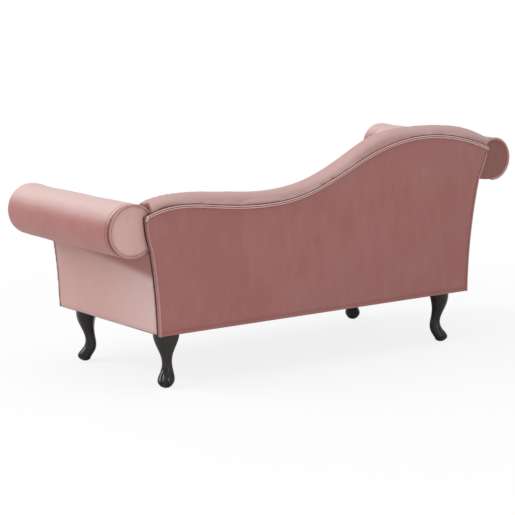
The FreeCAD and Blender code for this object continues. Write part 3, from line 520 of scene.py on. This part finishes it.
def fade(tree, value, start, stop, at_start, at_stop):
    """Smooth change from one value to another between two places."""
    limits = {"Value": value, "From Min": start, "From Max": stop, "To Min": at_start, "To Max": at_stop}
    return add(tree, "ShaderNodeMapRange", limits, interpolation_type="SMOOTHSTEP").outputs[0]


def noise(tree, place, scale, detail, **more):
    """Uneven pattern with grains of one size."""
    grains = {"Vector": place, "Scale": scale, "Detail": detail, **more}
    return add(tree, "ShaderNodeTexNoise", grains).outputs["Fac"]


def stretched(tree, place, scale):
    return add(tree, "ShaderNodeMapping", {"Vector": place, "Scale": scale}).outputs[0]


def facing_up(tree):
    """How far the surface faces up, from -1 to 1."""
    normal = add(tree, "ShaderNodeNewGeometry").outputs["Normal"]
    return add(tree, "ShaderNodeSeparateXYZ", {"Vector": normal}).outputs["Z"]


def group(name, inputs, outputs):
    """A new node group with named inputs and outputs; gives its tree, entry and exit."""
    tree = bpy.data.node_groups.new(name, "ShaderNodeTree")
    for label, kind, value in inputs:
        socket = tree.interface.new_socket(label, in_out="INPUT", socket_type=kind)
        if value is not None:
            socket.default_value = value
    for label, kind in outputs:
        tree.interface.new_socket(label, in_out="OUTPUT", socket_type=kind)
    return tree, tree.nodes.new("NodeGroupInput").outputs, tree.nodes.new("NodeGroupOutput").inputs


def velvet_nap():
    """Cloudy brushed pile, long streaks where it was stroked, and the grain of its tips."""
    tree, given, result = group(
        "velvet_nap",
        [("Vector", VECTOR, None), ("Pile", COLOUR, None), ("Tips", COLOUR, None), ("Clouds", FLOAT, 0.3),
         ("Grain", FLOAT, 900.0)],
        [("Color", COLOUR), ("Roughness", FLOAT), ("Height", FLOAT)])
    clouds = noise(tree, given["Vector"], 4.5, 4.0, Roughness=0.6, Distortion=0.4)
    streaks = noise(tree, stretched(tree, given["Vector"], (3.0, 3.0, 0.8)), 11.0, 5.0, Roughness=0.65)
    grain = noise(tree, given["Vector"], given["Grain"], 2.0)
    cloudy = maths(tree, "SUBTRACT", maths(tree, "ADD", clouds, streaks), 0.82)
    brushed = maths(tree, "MULTIPLY", maths(tree, "MAXIMUM", cloudy, 0.0), given["Clouds"])
    specks = maths(tree, "MULTIPLY", maths(tree, "SUBTRACT", grain, 0.5), 0.16)
    factor = add(tree, "ShaderNodeClamp", {"Value": maths(tree, "ADD", brushed, specks)}).outputs[0]
    tree.links.new(blend_colours(tree, factor, given["Pile"], given["Tips"]), result["Color"])
    tree.links.new(maths(tree, "MULTIPLY_ADD", streaks, 0.2, 0.55), result["Roughness"])
    tree.links.new(maths(tree, "ADD", grain, maths(tree, "MULTIPLY", streaks, 0.6)), result["Height"])
    return tree


def sewn_line():
    """A line of stitches along a seam: how far a point is from it, and where the thread lies."""
    tree, given, result = group(
        "sewn_line",
        [("Along", FLOAT, 0.0), ("Across", FLOAT, 0.0), ("Width", FLOAT, 0.0012), ("Stitch", FLOAT, 0.0045)],
        [("Groove", FLOAT), ("Thread", FLOAT)])
    away = maths(tree, "DIVIDE", maths(tree, "ABSOLUTE", given["Across"]), given["Width"])
    groove = fade(tree, away, 0.3, 1.6, 1.0, 0.0)
    phase = maths(tree, "FRACT", maths(tree, "DIVIDE", given["Along"], given["Stitch"]))
    laid = maths(tree, "LESS_THAN", phase, 0.72)
    tree.links.new(groove, result["Groove"])
    tree.links.new(maths(tree, "MULTIPLY", groove, laid), result["Thread"])
    return tree


def wood_grain():
    """Growth rings drawn out along the timber, with fine pores."""
    tree, given, result = group(
        "wood_grain",
        [("Vector", VECTOR, None), ("Early", COLOUR, None), ("Late", COLOUR, None), ("Rings", FLOAT, 60.0)],
        [("Color", COLOUR), ("Roughness", FLOAT), ("Height", FLOAT)])
    drawn = stretched(tree, given["Vector"], (0.08, 1.0, 1.0))
    rings = noise(tree, drawn, given["Rings"], 4.0, Distortion=0.7)
    pores = noise(tree, drawn, 900.0, 2.0)
    tree.links.new(blend_colours(tree, rings, given["Early"], given["Late"]), result["Color"])
    tree.links.new(maths(tree, "MULTIPLY_ADD", pores, 0.25, 0.45), result["Roughness"])
    tree.links.new(maths(tree, "ADD", rings, maths(tree, "MULTIPLY", pores, 0.5)), result["Height"])
    return tree


def fine_dust():
    """Dust that settles on what faces up."""
    tree, given, result = group(
        "fine_dust", [("Vector", VECTOR, None), ("Amount", FLOAT, 0.2)], [("Mask", FLOAT)])
    settled = maths(tree, "MULTIPLY", maths(tree, "MAXIMUM", facing_up(tree), 0.0),
                    noise(tree, given["Vector"], 220.0, 3.0))
    tree.links.new(maths(tree, "MULTIPLY", settled, given["Amount"]), result["Mask"])
    return tree


# Finishes


def shared(name):
    """A node group by name, built the first time it is asked for."""
    builders = {made.__name__: made for made in (velvet_nap, sewn_line, wood_grain, fine_dust)}
    return bpy.data.node_groups.get(name) or builders[name]()


def made_before(name):
    """A finish of this script; the frame's own plain materials carry the slot's bare name."""
    return bpy.data.materials.get(f"{name}_finish")


def start_finish(name):
    """A new material with its surface shader and the place of each point on the object."""
    material = bpy.data.materials.new(f"{name}_finish")
    material.use_nodes = True
    tree = material.node_tree
    surface = tree.nodes["Principled BSDF"]
    place = tree.nodes.new("ShaderNodeTexCoord").outputs["Object"]
    return material, tree, surface, place


def use_group(tree, name, inputs):
    return add(tree, "ShaderNodeGroup", inputs, node_tree=shared(name)).outputs


def raise_surface(tree, surface, height, strength, distance):
    bump = add(tree, "ShaderNodeBump", {"Height": height, "Strength": strength, "Distance": distance})
    tree.links.new(bump.outputs[0], surface.inputs["Normal"])


def dimmed(tint, brightness=1.0):
    return (*[part * brightness for part in tint[:3]], 1.0)


def between(first, second, share, brightness):
    """A colour part of the way from one to another."""
    return dimmed([a + (b - a) * share for a, b in zip(first, second)], brightness)


def velvet(name, hemmed=0.0, clouds=0.34, brightness=1.0, brushed=0.0, painted_top_highlight=0.0, rings=(), shadow=None,
           painted_light_to_rear=None, under=None):
    """Dusty rose velvet.

    hemmed: how strongly two sewn lines show above the bottom edge, with painted shade in their grooves
    brushed: share of painted light, moving the colour towards the paler sheen colours on the lit pieces
    painted_top_highlight: how much painted highlight lies where the cover faces up
    rings: places along the depth where the cover is drawn in, with painted shade in each groove
    shadow: where along the depth a painted shadow starts and ends, and how dark it is
    paler: where along the depth painted light grows towards the rear, and how strong it grows
    under: heights between which painted shade darkens the pile upwards below a roll, lower to the rear
    """
    if made_before(name):
        return made_before(name)
    colours = bpy.context.scene.chaise_colours
    pile = between(colours.velvet, colours.velvet_light, brushed, brightness)
    tips = between(colours.velvet_light, colours.velvet_painted_highlight, brushed, brightness)
    pale = dimmed(colours.velvet_painted_highlight, brightness)
    # Painted shade: the dark colour laid in the drawn-in grooves and the sewn grooves
    fold = dimmed(colours.velvet, 0.35)
    material, tree, surface, place = start_finish(name)
    apart = add(tree, "ShaderNodeSeparateXYZ", {"Vector": place}).outputs
    nap = use_group(tree, "velvet_nap", {"Vector": place, "Pile": pile, "Tips": tips, "Clouds": clouds})
    # Painted sheen: the colour turns towards the paler tips where the cover is seen at a glancing angle
    glance = add(tree, "ShaderNodeLayerWeight", {"Blend": 0.32}).outputs["Facing"]
    shade = blend_colours(tree, maths(tree, "MULTIPLY", glance, 0.38), nap["Color"], tips)
    height = maths(tree, "MULTIPLY", nap["Height"], 0.25)
    # Painted highlight: the cover is paler where it faces up
    if painted_top_highlight:
        shade = blend_colours(tree, fade(tree, facing_up(tree), 0.12, 0.86, 0.0, painted_top_highlight), shade, pale)
    # Painted light: the pile gets lighter towards the rear
    if painted_light_to_rear:
        start, stop, amount = painted_light_to_rear
        shade = blend_colours(tree, fade(tree, apart["Y"], start, stop, 0.0, amount), shade, pale)
    # Painted shade below the roll, reaching lower towards the rear
    if under:
        slanted = maths(tree, "MULTIPLY_ADD", apart["Y"], 0.11, apart["Z"])
        shade = blend_colours(tree, fade(tree, slanted, *under, 0.0, 0.85), shade, dimmed(colours.velvet))
    # Painted shade in each drawn-in groove
    for ring in rings:
        across = maths(tree, "SUBTRACT", apart["Y"], ring)
        seam = use_group(tree, "sewn_line", {"Across": across, "Width": 0.0024})
        shade = blend_colours(tree, maths(tree, "MULTIPLY", seam["Groove"], 0.5), shade, fold)
        height = maths(tree, "SUBTRACT", height, maths(tree, "MULTIPLY", seam["Groove"], 1.2))
    # Painted shade in the two sewn grooves above the bottom edge
    if hemmed:
        along = maths(tree, "ADD", apart["X"], apart["Y"])
        hem = bpy.context.scene.chaise_upholstery.hem
        for lift in (hem, hem - 0.0045):
            across = maths(tree, "SUBTRACT", apart["Z"], BASE_Z + lift)
            seam = use_group(tree, "sewn_line", {"Along": along, "Across": across})
            shade = blend_colours(tree, maths(tree, "MULTIPLY", seam["Groove"], hemmed), shade, fold)
            height = maths(tree, "SUBTRACT", height, maths(tree, "MULTIPLY", seam["Groove"], 0.8))
            height = maths(tree, "ADD", height, maths(tree, "MULTIPLY", seam["Thread"], 0.5))
    # Painted shadow: a near-black band along the depth where a slot or a turned edge lies in shade
    if shadow:
        dark, clear, depth = shadow
        painted_shadow_share = fade(tree, apart["Y"], dark, clear, depth, 0.0)
        shade = blend_colours(tree, painted_shadow_share, shade, dimmed(colours.velvet, 0.05))
    tree.links.new(shade, surface.inputs["Base Color"])
    tree.links.new(nap["Roughness"], surface.inputs["Roughness"])
    surface.inputs["Specular IOR Level"].default_value = 0.2
    surface.inputs["Sheen Weight"].default_value = 0.17
    surface.inputs["Sheen Roughness"].default_value = 0.35
    surface.inputs["Sheen Tint"].default_value = (1.0, 0.86, 0.83, 1.0)
    raise_surface(tree, surface, height, 0.5, 0.0008)
    return material


def rim_velvet():
    # Painted light: the piping and rims are a paler lit copy of the velvet
    return velvet("velvet_rim", clouds=0.6, brushed=0.5)


def leg_lacquer():
    if made_before("leg_lacquer"):
        return made_before("leg_lacquer")
    dark = dimmed(bpy.context.scene.chaise_colours.lacquer)
    material, tree, surface, place = start_finish("leg_lacquer")
    turned = {"Vector": place, "Rotation": (0.0, math.pi / 2, 0.0)}
    upright = add(tree, "ShaderNodeMapping", turned).outputs[0]
    late = (0.0250, 0.0195, 0.0180, 1.0)
    grain = use_group(tree, "wood_grain", {"Vector": upright, "Early": dark, "Late": late, "Rings": 90.0})
    dust = use_group(tree, "fine_dust", {"Vector": place, "Amount": 0.02})["Mask"]
    shade = blend_colours(tree, dust, grain["Color"], (0.32, 0.29, 0.27, 1.0))
    tree.links.new(shade, surface.inputs["Base Color"])
    tree.links.new(maths(tree, "MULTIPLY", grain["Roughness"], 0.5), surface.inputs["Roughness"])
    surface.inputs["Coat Weight"].default_value = 0.3
    surface.inputs["Specular IOR Level"].default_value = 0.25
    surface.inputs["Coat Roughness"].default_value = 0.08
    raise_surface(tree, surface, grain["Height"], 0.12, 0.0004)
    return material


def timber(name, early, late, rings):
    material, tree, surface, place = start_finish(name)
    grain = use_group(tree, "wood_grain", {"Vector": place, "Early": early, "Late": late, "Rings": rings})
    tree.links.new(grain["Color"], surface.inputs["Base Color"])
    tree.links.new(grain["Roughness"], surface.inputs["Roughness"])
    raise_surface(tree, surface, grain["Height"], 0.25, 0.0006)
    return material


def steel(name, tint, roughness):
    material, tree, surface, place = start_finish(name)
    marks = noise(tree, stretched(tree, place, (1.0, 8.0, 8.0)), 420.0, 3.0)
    tree.links.new(blend_colours(tree, marks, tint, dimmed(tint, 0.75)), surface.inputs["Base Color"])
    tree.links.new(maths(tree, "MULTIPLY_ADD", marks, 0.25, roughness), surface.inputs["Roughness"])
    surface.inputs["Metallic"].default_value = 1.0
    raise_surface(tree, surface, marks, 0.1, 0.0002)
    return material


def cloth(name, tint, threads, depth):
    """Woven, needled or moulded surface with an even small pattern."""
    material, tree, surface, place = start_finish(name)
    lines = {"Vector": place, "Scale": threads, "Distortion": 1.5}
    warp, weft = [add(tree, "ShaderNodeTexWave", lines, bands_direction=way).outputs["Fac"]
                  for way in ("X", "Y")]
    weave = maths(tree, "MULTIPLY", warp, weft)
    fibres = noise(tree, place, 160.0, 4.0)
    mixed = maths(tree, "ADD", maths(tree, "MULTIPLY", weave, 0.4), maths(tree, "MULTIPLY", fibres, 0.6))
    tree.links.new(blend_colours(tree, mixed, dimmed(tint, 0.7), tint), surface.inputs["Base Color"])
    tree.links.new(maths(tree, "MULTIPLY_ADD", fibres, 0.15, 0.78), surface.inputs["Roughness"])
    raise_surface(tree, surface, mixed, 0.4, depth)
    return material


def finish_for(slot):
    """The finish of a material slot of the frame, for the pieces that are carried over."""
    if made_before(slot):
        return made_before(slot)
    makers = {
        "frame_timber": lambda: timber(slot, (0.57, 0.37, 0.18, 1.0), (0.40, 0.23, 0.10, 1.0), 60.0),
        "plywood": lambda: timber(slot, (0.54, 0.34, 0.17, 1.0), (0.37, 0.22, 0.10, 1.0), 130.0),
        "fibreboard": lambda: timber(slot, (0.17, 0.12, 0.075, 1.0), (0.12, 0.085, 0.055, 1.0), 300.0),
        "spring_steel": lambda: steel(slot, (0.16, 0.16, 0.17, 1.0), 0.35),
        "zinc_steel": lambda: steel(slot, (0.42, 0.43, 0.45, 1.0), 0.28),
        "felt": lambda: cloth(slot, (0.19, 0.18, 0.16, 1.0), 500.0, 0.0006),
        "black_cambric": lambda: cloth(slot, (0.006, 0.006, 0.006, 1.0), 900.0, 0.0002),
        "glide_plastic": lambda: cloth(slot, (0.007, 0.007, 0.007, 1.0), 1500.0, 0.0001),
    }
    return makers[slot]()


# Pieces


def arms():
    scene = bpy.context.scene
    return [("low", scene.chaise_low_arm), ("high", scene.chaise_high_arm)]


def outside_at(arm, inset, z):
    line = np.array(outside_line(arm, inset, BASE_Z, 60))
    return float(np.interp(z, line[:, 1], line[:, 0]))


def arm_outline(arm, panel):
    """Padding of an arm: roll, inside, and the back of the panel that closes it outside."""
    outline = list(roll_line(arm, 0.0))
    outline.append((outside_at(arm, panel, RAIL_TOP), RAIL_TOP))
    outline += outside_line(arm, panel, RAIL_TOP + 0.004)
    return [tuple(p) for p in outline]


def facing_outline(arm, inset):
    outline = list(roll_line(arm, inset))
    outline.append((arm.inner_x, RAIL_TOP))
    outline.append((arm.inner_x, BASE_Z))
    outline += outside_line(arm, FACING_SET_IN, BASE_Z)
    return [tuple(p) for p in outline]


class CHAISE_OT_arm_cushions(Operator):
    """Stuffed roll and inside of each arm"""

    bl_idname = "chaise.arm_cushions"
    bl_label = "Arm cushions"

    def execute(self, context):
        sizes = context.scene.chaise_upholstery
        for name, arm in arms():
            outline = arm_outline(arm, sizes.panel)
            piece = prism(f"{name}_arm_cushion", outline, *CUSHION_ENDS)
            stuff(piece, 3.0, 0.003)
            swell(piece, 0.0009, 11, 0.16)
            # Painted highlight where the roll faces up, and painted shade in its drawn-in lines
            cover = velvet("velvet_roll", painted_top_highlight=0.75, rings=DRAWN_IN)
            finish_piece(piece, cover, (f"{name}_arm_inside_cover", f"{name}_arm_padding"))
        return {"FINISHED"}


class CHAISE_OT_arm_panels(Operator):
    """Padded panel on the outside of each arm"""

    bl_idname = "chaise.arm_panels"
    bl_label = "Outside arm panels"

    def execute(self, context):
        panel = context.scene.chaise_upholstery.panel
        for name, arm in arms():
            outer = outside_line(arm, 0.0, BASE_Z)
            inner = outside_line(arm, panel - PANEL_LAP, BASE_Z)
            piece = prism(f"{name}_arm_outside_panel", outer + inner[::-1], *PANEL_ENDS)
            stuff(piece, 1.5, 0.0015, shrink=0.0008, fine=True)
            swell(piece, 0.0007, 23, 0.13)
            top = crease(arm)[1]
            # Painted light on the outside panel: a lit copy of the velvet, lighter towards the rear, with a
            # painted shadow along the front edge and painted shade below the roll
            cover = velvet(f"velvet_{name}_end", hemmed=0.12, brushed=0.85, painted_light_to_rear=(-0.05, 0.30, 0.45),
                           shadow=(ARM_FRONT + 0.014, ARM_FRONT + 0.024, 0.6),
                           under=(top - 0.070, top - 0.035))
            finish_piece(piece, cover, (f"{name}_arm_outside_cover",))
        return {"FINISHED"}


class CHAISE_OT_arm_facings(Operator):
    """Covered facings at both ends of each arm, set in behind the rim of the roll"""

    bl_idname = "chaise.arm_facings"
    bl_label = "Arm facings"

    def execute(self, context):
        sizes = context.scene.chaise_upholstery
        for name, arm in arms():
            outline = facing_outline(arm, sizes.facing_inset)
            for place, ends in FACING_ENDS.items():
                piece = prism(f"{name}_arm_{place}_face", outline, *ends)
                regrid(piece, COVER_GRID, 4)
                swell(piece, 0.0005, 31, 0.07)
                # Painted light: the low rear facing is a paler, brighter lit copy of the velvet and the high
                # rear facing a darker shaded one
                brushed, brightness = FACING_PAINTED_LIGHT.get((name, place), (0.0, 1.0))
                facing = velvet(f"velvet_{name}_{place}_facing", clouds=0.5, brightness=brightness,
                                brushed=brushed)
                finish_piece(piece, facing, (f"{name}_arm_{place}_facing",))
        return {"FINISHED"}


class CHAISE_OT_roll_caps(Operator):
    """Stuffed front end of each roll, gathered to its middle"""

    bl_idname = "chaise.roll_caps"
    bl_label = "Roll caps"

    def execute(self, context):
        for name, arm in arms():
            piece = copy_of(f"{name}_arm_cap", f"{name}_arm_roll_cap")
            points = points_of(piece)
            joined = points[:, 1] > CAP_RIM
            widest = np.hypot(points[joined, 0] - arm.roll_x, points[joined, 2] - arm.roll_z).max()
            for axis, middle in ((0, arm.roll_x), (2, arm.roll_z)):
                points[joined, axis] = middle + (points[joined, axis] - middle) * arm.radius / widest
            points[~joined, 1] = ARM_FRONT + (points[~joined, 1] - ARM_FRONT) * CAP_FULLNESS
            points[joined, 1] += CAP_LAP
            set_points(piece, points)
            stuff(piece, 3.0, 0.002, fine=True)
            points = points_of(piece)
            out = np.hypot(points[:, 0] - arm.roll_x, points[:, 2] - arm.roll_z)
            angle = np.arctan2(points[:, 2] - arm.roll_z, points[:, 0] - arm.roll_x)
            front = points[:, 1] < ARM_FRONT - 0.010
            gathered = bump_at(out, arm.radius * 0.42, arm.radius * 0.16)
            pleats = np.sin(angle * 26.0 + 0.7 * np.sin(angle * 5.0)) * gathered
            push(piece, np.where(front, 0.0010 * pleats, 0.0))
            # Painted highlight where the cap faces up
            cover = velvet("velvet_cap", painted_top_highlight=0.75)
            finish_piece(piece, cover, (f"{name}_arm_roll_cap",))
        return {"FINISHED"}


class CHAISE_OT_arm_piping(Operator):
    """Piping round both ends of each roll"""

    bl_idname = "chaise.arm_piping"
    bl_label = "Arm piping"

    def execute(self, context):
        sizes = context.scene.chaise_upholstery
        for name, arm in arms():
            line = even(roll_line(arm, sizes.piping_inset)[1:], PIPING_STEP)
            rings = [[(x, y, z) for x, z in line] for y in PIPING_PLACES]
            piece = cords(f"{name}_arm_piping", rings, sizes.ring_cord, [sizes.rim_cord / sizes.ring_cord])
            finish_piece(piece, rim_velvet(), (f"{name}_arm_welts",))
        return {"FINISHED"}


class CHAISE_OT_back_cushion(Operator):
    """Stuffed inside of the back, with the crest that rolls over its top"""

    bl_idname = "chaise.back_cushion"
    bl_label = "Back cushion"

    def execute(self, context):
        piece = copy_of("back_cushion", "back_inside_cover", "back_padding")
        stuff(piece, 3.0, 0.003)
        points = points_of(piece)
        low_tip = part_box("back_outside_cover")[1].x
        gathers = np.sin(points[:, 0] * 2 * math.pi / GATHER_SPACING + 3.0 * points[:, 2])
        near_end = bump_at(points[:, 0], low_tip - 0.09, 0.07) * (points[:, 2] > 0.50)
        push(piece, 0.0009 * gathers * near_end + 0.0011 * ripple(points, 47, 0.2))
        points = points_of(piece)
        edge = low_tip - CREST_STOP
        over = (points[:, 0] > edge) & (points[:, 1] > ARM_REAR - 0.012)
        points[over, 0] = edge + (points[over, 0] - edge) * CREST_SQUEEZE
        set_points(piece, points)
        # Painted highlight where the crest faces up and towards its rear
        cover = velvet("velvet_crest", painted_top_highlight=0.36, painted_light_to_rear=(0.27, 0.31, 0.28))
        finish_piece(piece, cover, ("back_inside_cover", "back_padding"))
        return {"FINISHED"}


class CHAISE_OT_outside_back(Operator):
    """Velvet stretched over the board, flat behind and turned round its edges"""

    bl_idname = "chaise.outside_back"
    bl_label = "Outside back"

    def execute(self, context):
        piece = copy_of("outside_back_panel", "back_outside_cover")
        grid = context.scene.chaise_upholstery.grid
        low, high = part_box("back_outside_cover")
        for axis in (0, 2):
            for place in np.arange(low[axis] + grid, high[axis], grid):
                where, across = [0.0, 0.0, 0.0], [0.0, 0.0, 0.0]
                where[axis], across[axis] = float(place), 1.0
                edit_all(piece, bpy.ops.mesh.bisect, plane_co=where, plane_no=across)
        points = points_of(piece)
        rear = bump_at(points[:, 1], BACK_REAR, 0.0012)
        inner = np.clip((points[:, 2] - BASE_Z) / 0.05, 0.0, 1.0)
        points[:, 1] += 0.0008 * rear * inner * ripple(points, 53, 0.24)
        set_points(piece, points)
        # Painted shadow: the turned edges go near black more than 10 mm in from the rear face, standing in
        # for the shaded slot beside each arm
        cover = velvet("velvet_back", hemmed=0.34, shadow=(BACK_REAR - 0.010, BACK_REAR - 0.008, 0.95))
        finish_piece(piece, cover, ("back_outside_cover",), smooth=False)
        only(piece)
        bpy.ops.object.shade_smooth_by_angle(angle=math.radians(35))
        return {"FINISHED"}


class CHAISE_OT_back_piping(Operator):
    """Double piping along the top of the back and single piping down its sides"""

    bl_idname = "chaise.back_piping"
    bl_label = "Back piping"

    def execute(self, context):
        radius = context.scene.chaise_upholstery.cord
        chains = back_chains()
        y = BACK_REAR + radius
        top = even(chains["top"], PIPING_STEP)
        lines = [[(x, y, z + lift) for x, z in top] for lift in (-radius, radius)]
        tip_x, tip_z = top[0]
        lines.append([(tip_x + a * radius, y + b * radius, tip_z + c * radius) for a, b, c in KNOT])
        piece = cords("back_top_piping", lines, radius, [1.5])
        # Painted highlight: the top piping is a paler, brighter lit copy of the velvet
        light = velvet("velvet_piping", clouds=0.6, brushed=1.0, brightness=1.2)
        finish_piece(piece, light, ("back_top_welt",))
        # Painted shadow: thin near-black cords beside and between the double piping, where there is only
        # shade
        shadow_cords = [[(x, BACK_REAR + out * radius, z + lift * radius) for x, z in top] for out, lift in SHADOW_CORDS]
        piece = cords("back_top_shadow_cords", shadow_cords, radius * 0.5)
        finish_piece(piece, velvet("velvet_painted_shadow", brightness=0.12))
        sides = []
        for name, side in (("low_side", 1), ("high_side", -1)):
            line = even(chains[name], PIPING_STEP)
            sides.append([(x - side * radius, y, z) for x, z in line[:-4]])
        piece = cords("back_side_piping", sides, radius)
        finish_piece(piece, rim_velvet(), ("back_side_welts",))
        return {"FINISHED"}


class CHAISE_OT_seat(Operator):
    """Seat cushion, its front border and the piping between them"""

    bl_idname = "chaise.seat"
    bl_label = "Seat"

    def execute(self, context):
        piece = copy_of("seat_cushion", "seat_cover", "seat_foam")
        stuff(piece, 4.0, 0.004)
        swell(piece, 0.0012, 61, 0.22)
        finish_piece(piece, velvet("velvet"), ("seat_cover", "seat_foam"))
        border = copy_of("front_border_panel", "front_border")
        regrid(border, COVER_GRID, 4)
        swell(border, 0.0005, 67, 0.1)
        finish_piece(border, velvet("velvet_hemmed", hemmed=0.34), ("front_border",))
        low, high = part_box("front_welt")
        line = [(x, (low.y + high.y) / 2, (low.z + high.z) / 2) for x in np.arange(low.x, high.x, 0.006)]
        piping = cords("seat_front_piping", [line], context.scene.chaise_upholstery.ring_cord)
        finish_piece(piping, rim_velvet(), ("front_welt",))
        return {"FINISHED"}


class CHAISE_OT_legs(Operator):
    """Carved and lacquered legs"""

    bl_idname = "chaise.legs"
    bl_label = "Legs"

    def execute(self, context):
        for node in ("leg_low_rear", "leg_low_front", "leg_high_rear", "leg_high_front"):
            piece = copy_of(f"{node}_carved", node)
            regrid(piece, LEG_GRID, 1)
            finish_piece(piece, leg_lacquer(), (node,))
        return {"FINISHED"}


class CHAISE_OT_frame_finishes(Operator):
    """Finishes of the timbers, boards, springs and fixings inside"""

    bl_idname = "chaise.frame_finishes"
    bl_label = "Frame finishes"

    def execute(self, context):
        slots = {part["node"]: part["material_slot"] for part in frame["record"]["subparts"]}
        for name, piece in frame["nodes"].items():
            if not piece.hide_render:
                piece.data.materials.clear()
                piece.data.materials.append(finish_for(slots[name]))
        return {"FINISHED"}


class CHAISE_OT_stage(Operator):
    """Pale floor, soft lamps and the camera"""

    bl_idname = "chaise.stage"
    bl_label = "Stage"

    def execute(self, context):
        scene = context.scene
        bpy.ops.mesh.primitive_plane_add(size=40.0, location=(0, 0, -0.0005))
        floor = context.object
        floor.name = "floor"
        floor.data.materials.append(self.floor_finish(scene))
        self.lamp("key_lamp", (4.2, -2.6, 3.6), 3.0, 165.0)
        self.lamp("top_lamp", (0.3, 0.4, 4.2), 3.5, 62.0)
        self.lamp("rear_lamp", (1.2, 5.2, 2.2), 3.5, 45.0)
        self.surroundings(scene)
        self.camera(scene)
        scene.view_settings.view_transform = "Standard"
        return {"FINISHED"}

    def floor_finish(self, scene):
        material = bpy.data.materials.new("pale_floor")
        material.use_nodes = True
        tree = material.node_tree
        surface = tree.nodes["Principled BSDF"]
        surface.inputs["Base Color"].default_value = (*scene.chaise_colours.floor, 1.0)
        surface.inputs["Roughness"].default_value = 0.9
        white = add(tree, "ShaderNodeEmission", {"Color": (1.0, 1.0, 1.0, 1.0), "Strength": 1.0})
        place = tree.nodes.new("ShaderNodeTexCoord").outputs["Object"]
        away = add(tree, "ShaderNodeVectorMath", {0: place}, operation="LENGTH").outputs["Value"]
        plain = fade(tree, away, 0.9, 2.4, 0.84, 1.0)
        seen = maths(tree, "MULTIPLY", add(tree, "ShaderNodeLightPath").outputs["Is Camera Ray"], plain)
        mixed = add(tree, "ShaderNodeMixShader", {0: seen, 1: surface.outputs[0], 2: white.outputs[0]})
        tree.links.new(mixed.outputs[0], tree.nodes["Material Output"].inputs["Surface"])
        return material

    def lamp(self, name, place, width, power):
        bpy.ops.object.light_add(type="AREA", location=place)
        lamp = bpy.context.object
        lamp.name = name
        lamp.data.size = width
        lamp.data.energy = power
        aim = Vector((0.0, 0.0, 0.4)) - Vector(place)
        lamp.rotation_euler = aim.to_track_quat("-Z", "Y").to_euler()

    def surroundings(self, scene):
        world = bpy.data.worlds.new("studio")
        world.use_nodes = True
        scene.world = world
        tree = world.node_tree
        light = tree.nodes["Background"]
        light.inputs["Color"].default_value = (1.0, 1.0, 1.0, 1.0)
        light.inputs["Strength"].default_value = 0.5
        white = add(tree, "ShaderNodeBackground", {"Color": (1.0, 1.0, 1.0, 1.0), "Strength": 1.0})
        path = add(tree, "ShaderNodeLightPath").outputs
        glossy = maths(tree, "MULTIPLY", path["Is Glossy Ray"], 0.25)
        seen = maths(tree, "MAXIMUM", path["Is Camera Ray"], glossy)
        mixed = add(tree, "ShaderNodeMixShader", {0: seen, 1: light.outputs[0], 2: white.outputs[0]})
        tree.links.new(mixed.outputs[0], tree.nodes["World Output"].inputs["Surface"])

    def camera(self, scene):
        place = scene.chaise_camera
        a, e = place.azimuth, place.elevation
        back = Vector((math.sin(a) * math.cos(e), -math.cos(a) * math.cos(e), math.sin(e)))
        right = Vector((0, 0, 1)).cross(back).normalized()
        up = back.cross(right)
        data = bpy.data.cameras.new("camera")
        data.lens = place.lens
        data.sensor_width = 36.0
        camera = bpy.data.objects.new("camera", data)
        scene.collection.objects.link(camera)
        base_middle = Vector((0.020, 0.0155, 0.0))
        camera.location = base_middle + back * place.distance + right * place.right + up * place.up
        camera.rotation_euler = (-back).to_track_quat("-Z", "Y").to_euler()
        scene.camera = camera


STEPS = ("seat", "back_cushion", "outside_back", "back_piping", "arm_cushions", "arm_panels", "arm_facings",
         "arm_piping", "roll_caps", "legs", "frame_finishes", "stage")


class CHAISE_PT_panel(Panel):
    """Steps that make the chaise longue"""

    bl_idname = "CHAISE_PT_panel"
    bl_label = "Chaise longue"
    bl_space_type = "VIEW_3D"
    bl_region_type = "UI"
    bl_category = "Chaise"

    def draw(self, context):
        for step in STEPS:
            self.layout.operator(f"chaise.{step}")


CLASSES = (
    LowArmSizes, HighArmSizes, UpholsterySizes, FinishColours, CameraPlace,
    CHAISE_OT_seat, CHAISE_OT_back_cushion, CHAISE_OT_outside_back, CHAISE_OT_back_piping,
    CHAISE_OT_arm_cushions, CHAISE_OT_arm_panels, CHAISE_OT_arm_facings, CHAISE_OT_arm_piping,
    CHAISE_OT_roll_caps, CHAISE_OT_legs, CHAISE_OT_frame_finishes, CHAISE_OT_stage, CHAISE_PT_panel,
)
SETTINGS = {
    "chaise_low_arm": LowArmSizes, "chaise_high_arm": HighArmSizes, "chaise_upholstery": UpholsterySizes,
    "chaise_colours": FinishColours, "chaise_camera": CameraPlace,
}


def register():
    for item in CLASSES:
        bpy.utils.register_class(item)
    for name, kind in SETTINGS.items():
        setattr(bpy.types.Scene, name, PointerProperty(type=kind))


def unregister():
    for name in SETTINGS:
        delattr(bpy.types.Scene, name)
    for item in reversed(CLASSES):
        bpy.utils.unregister_class(item)


def main():
    register()
    for step in STEPS:
        getattr(bpy.ops.chaise, step)()


if __name__ == "__main__":
    main()
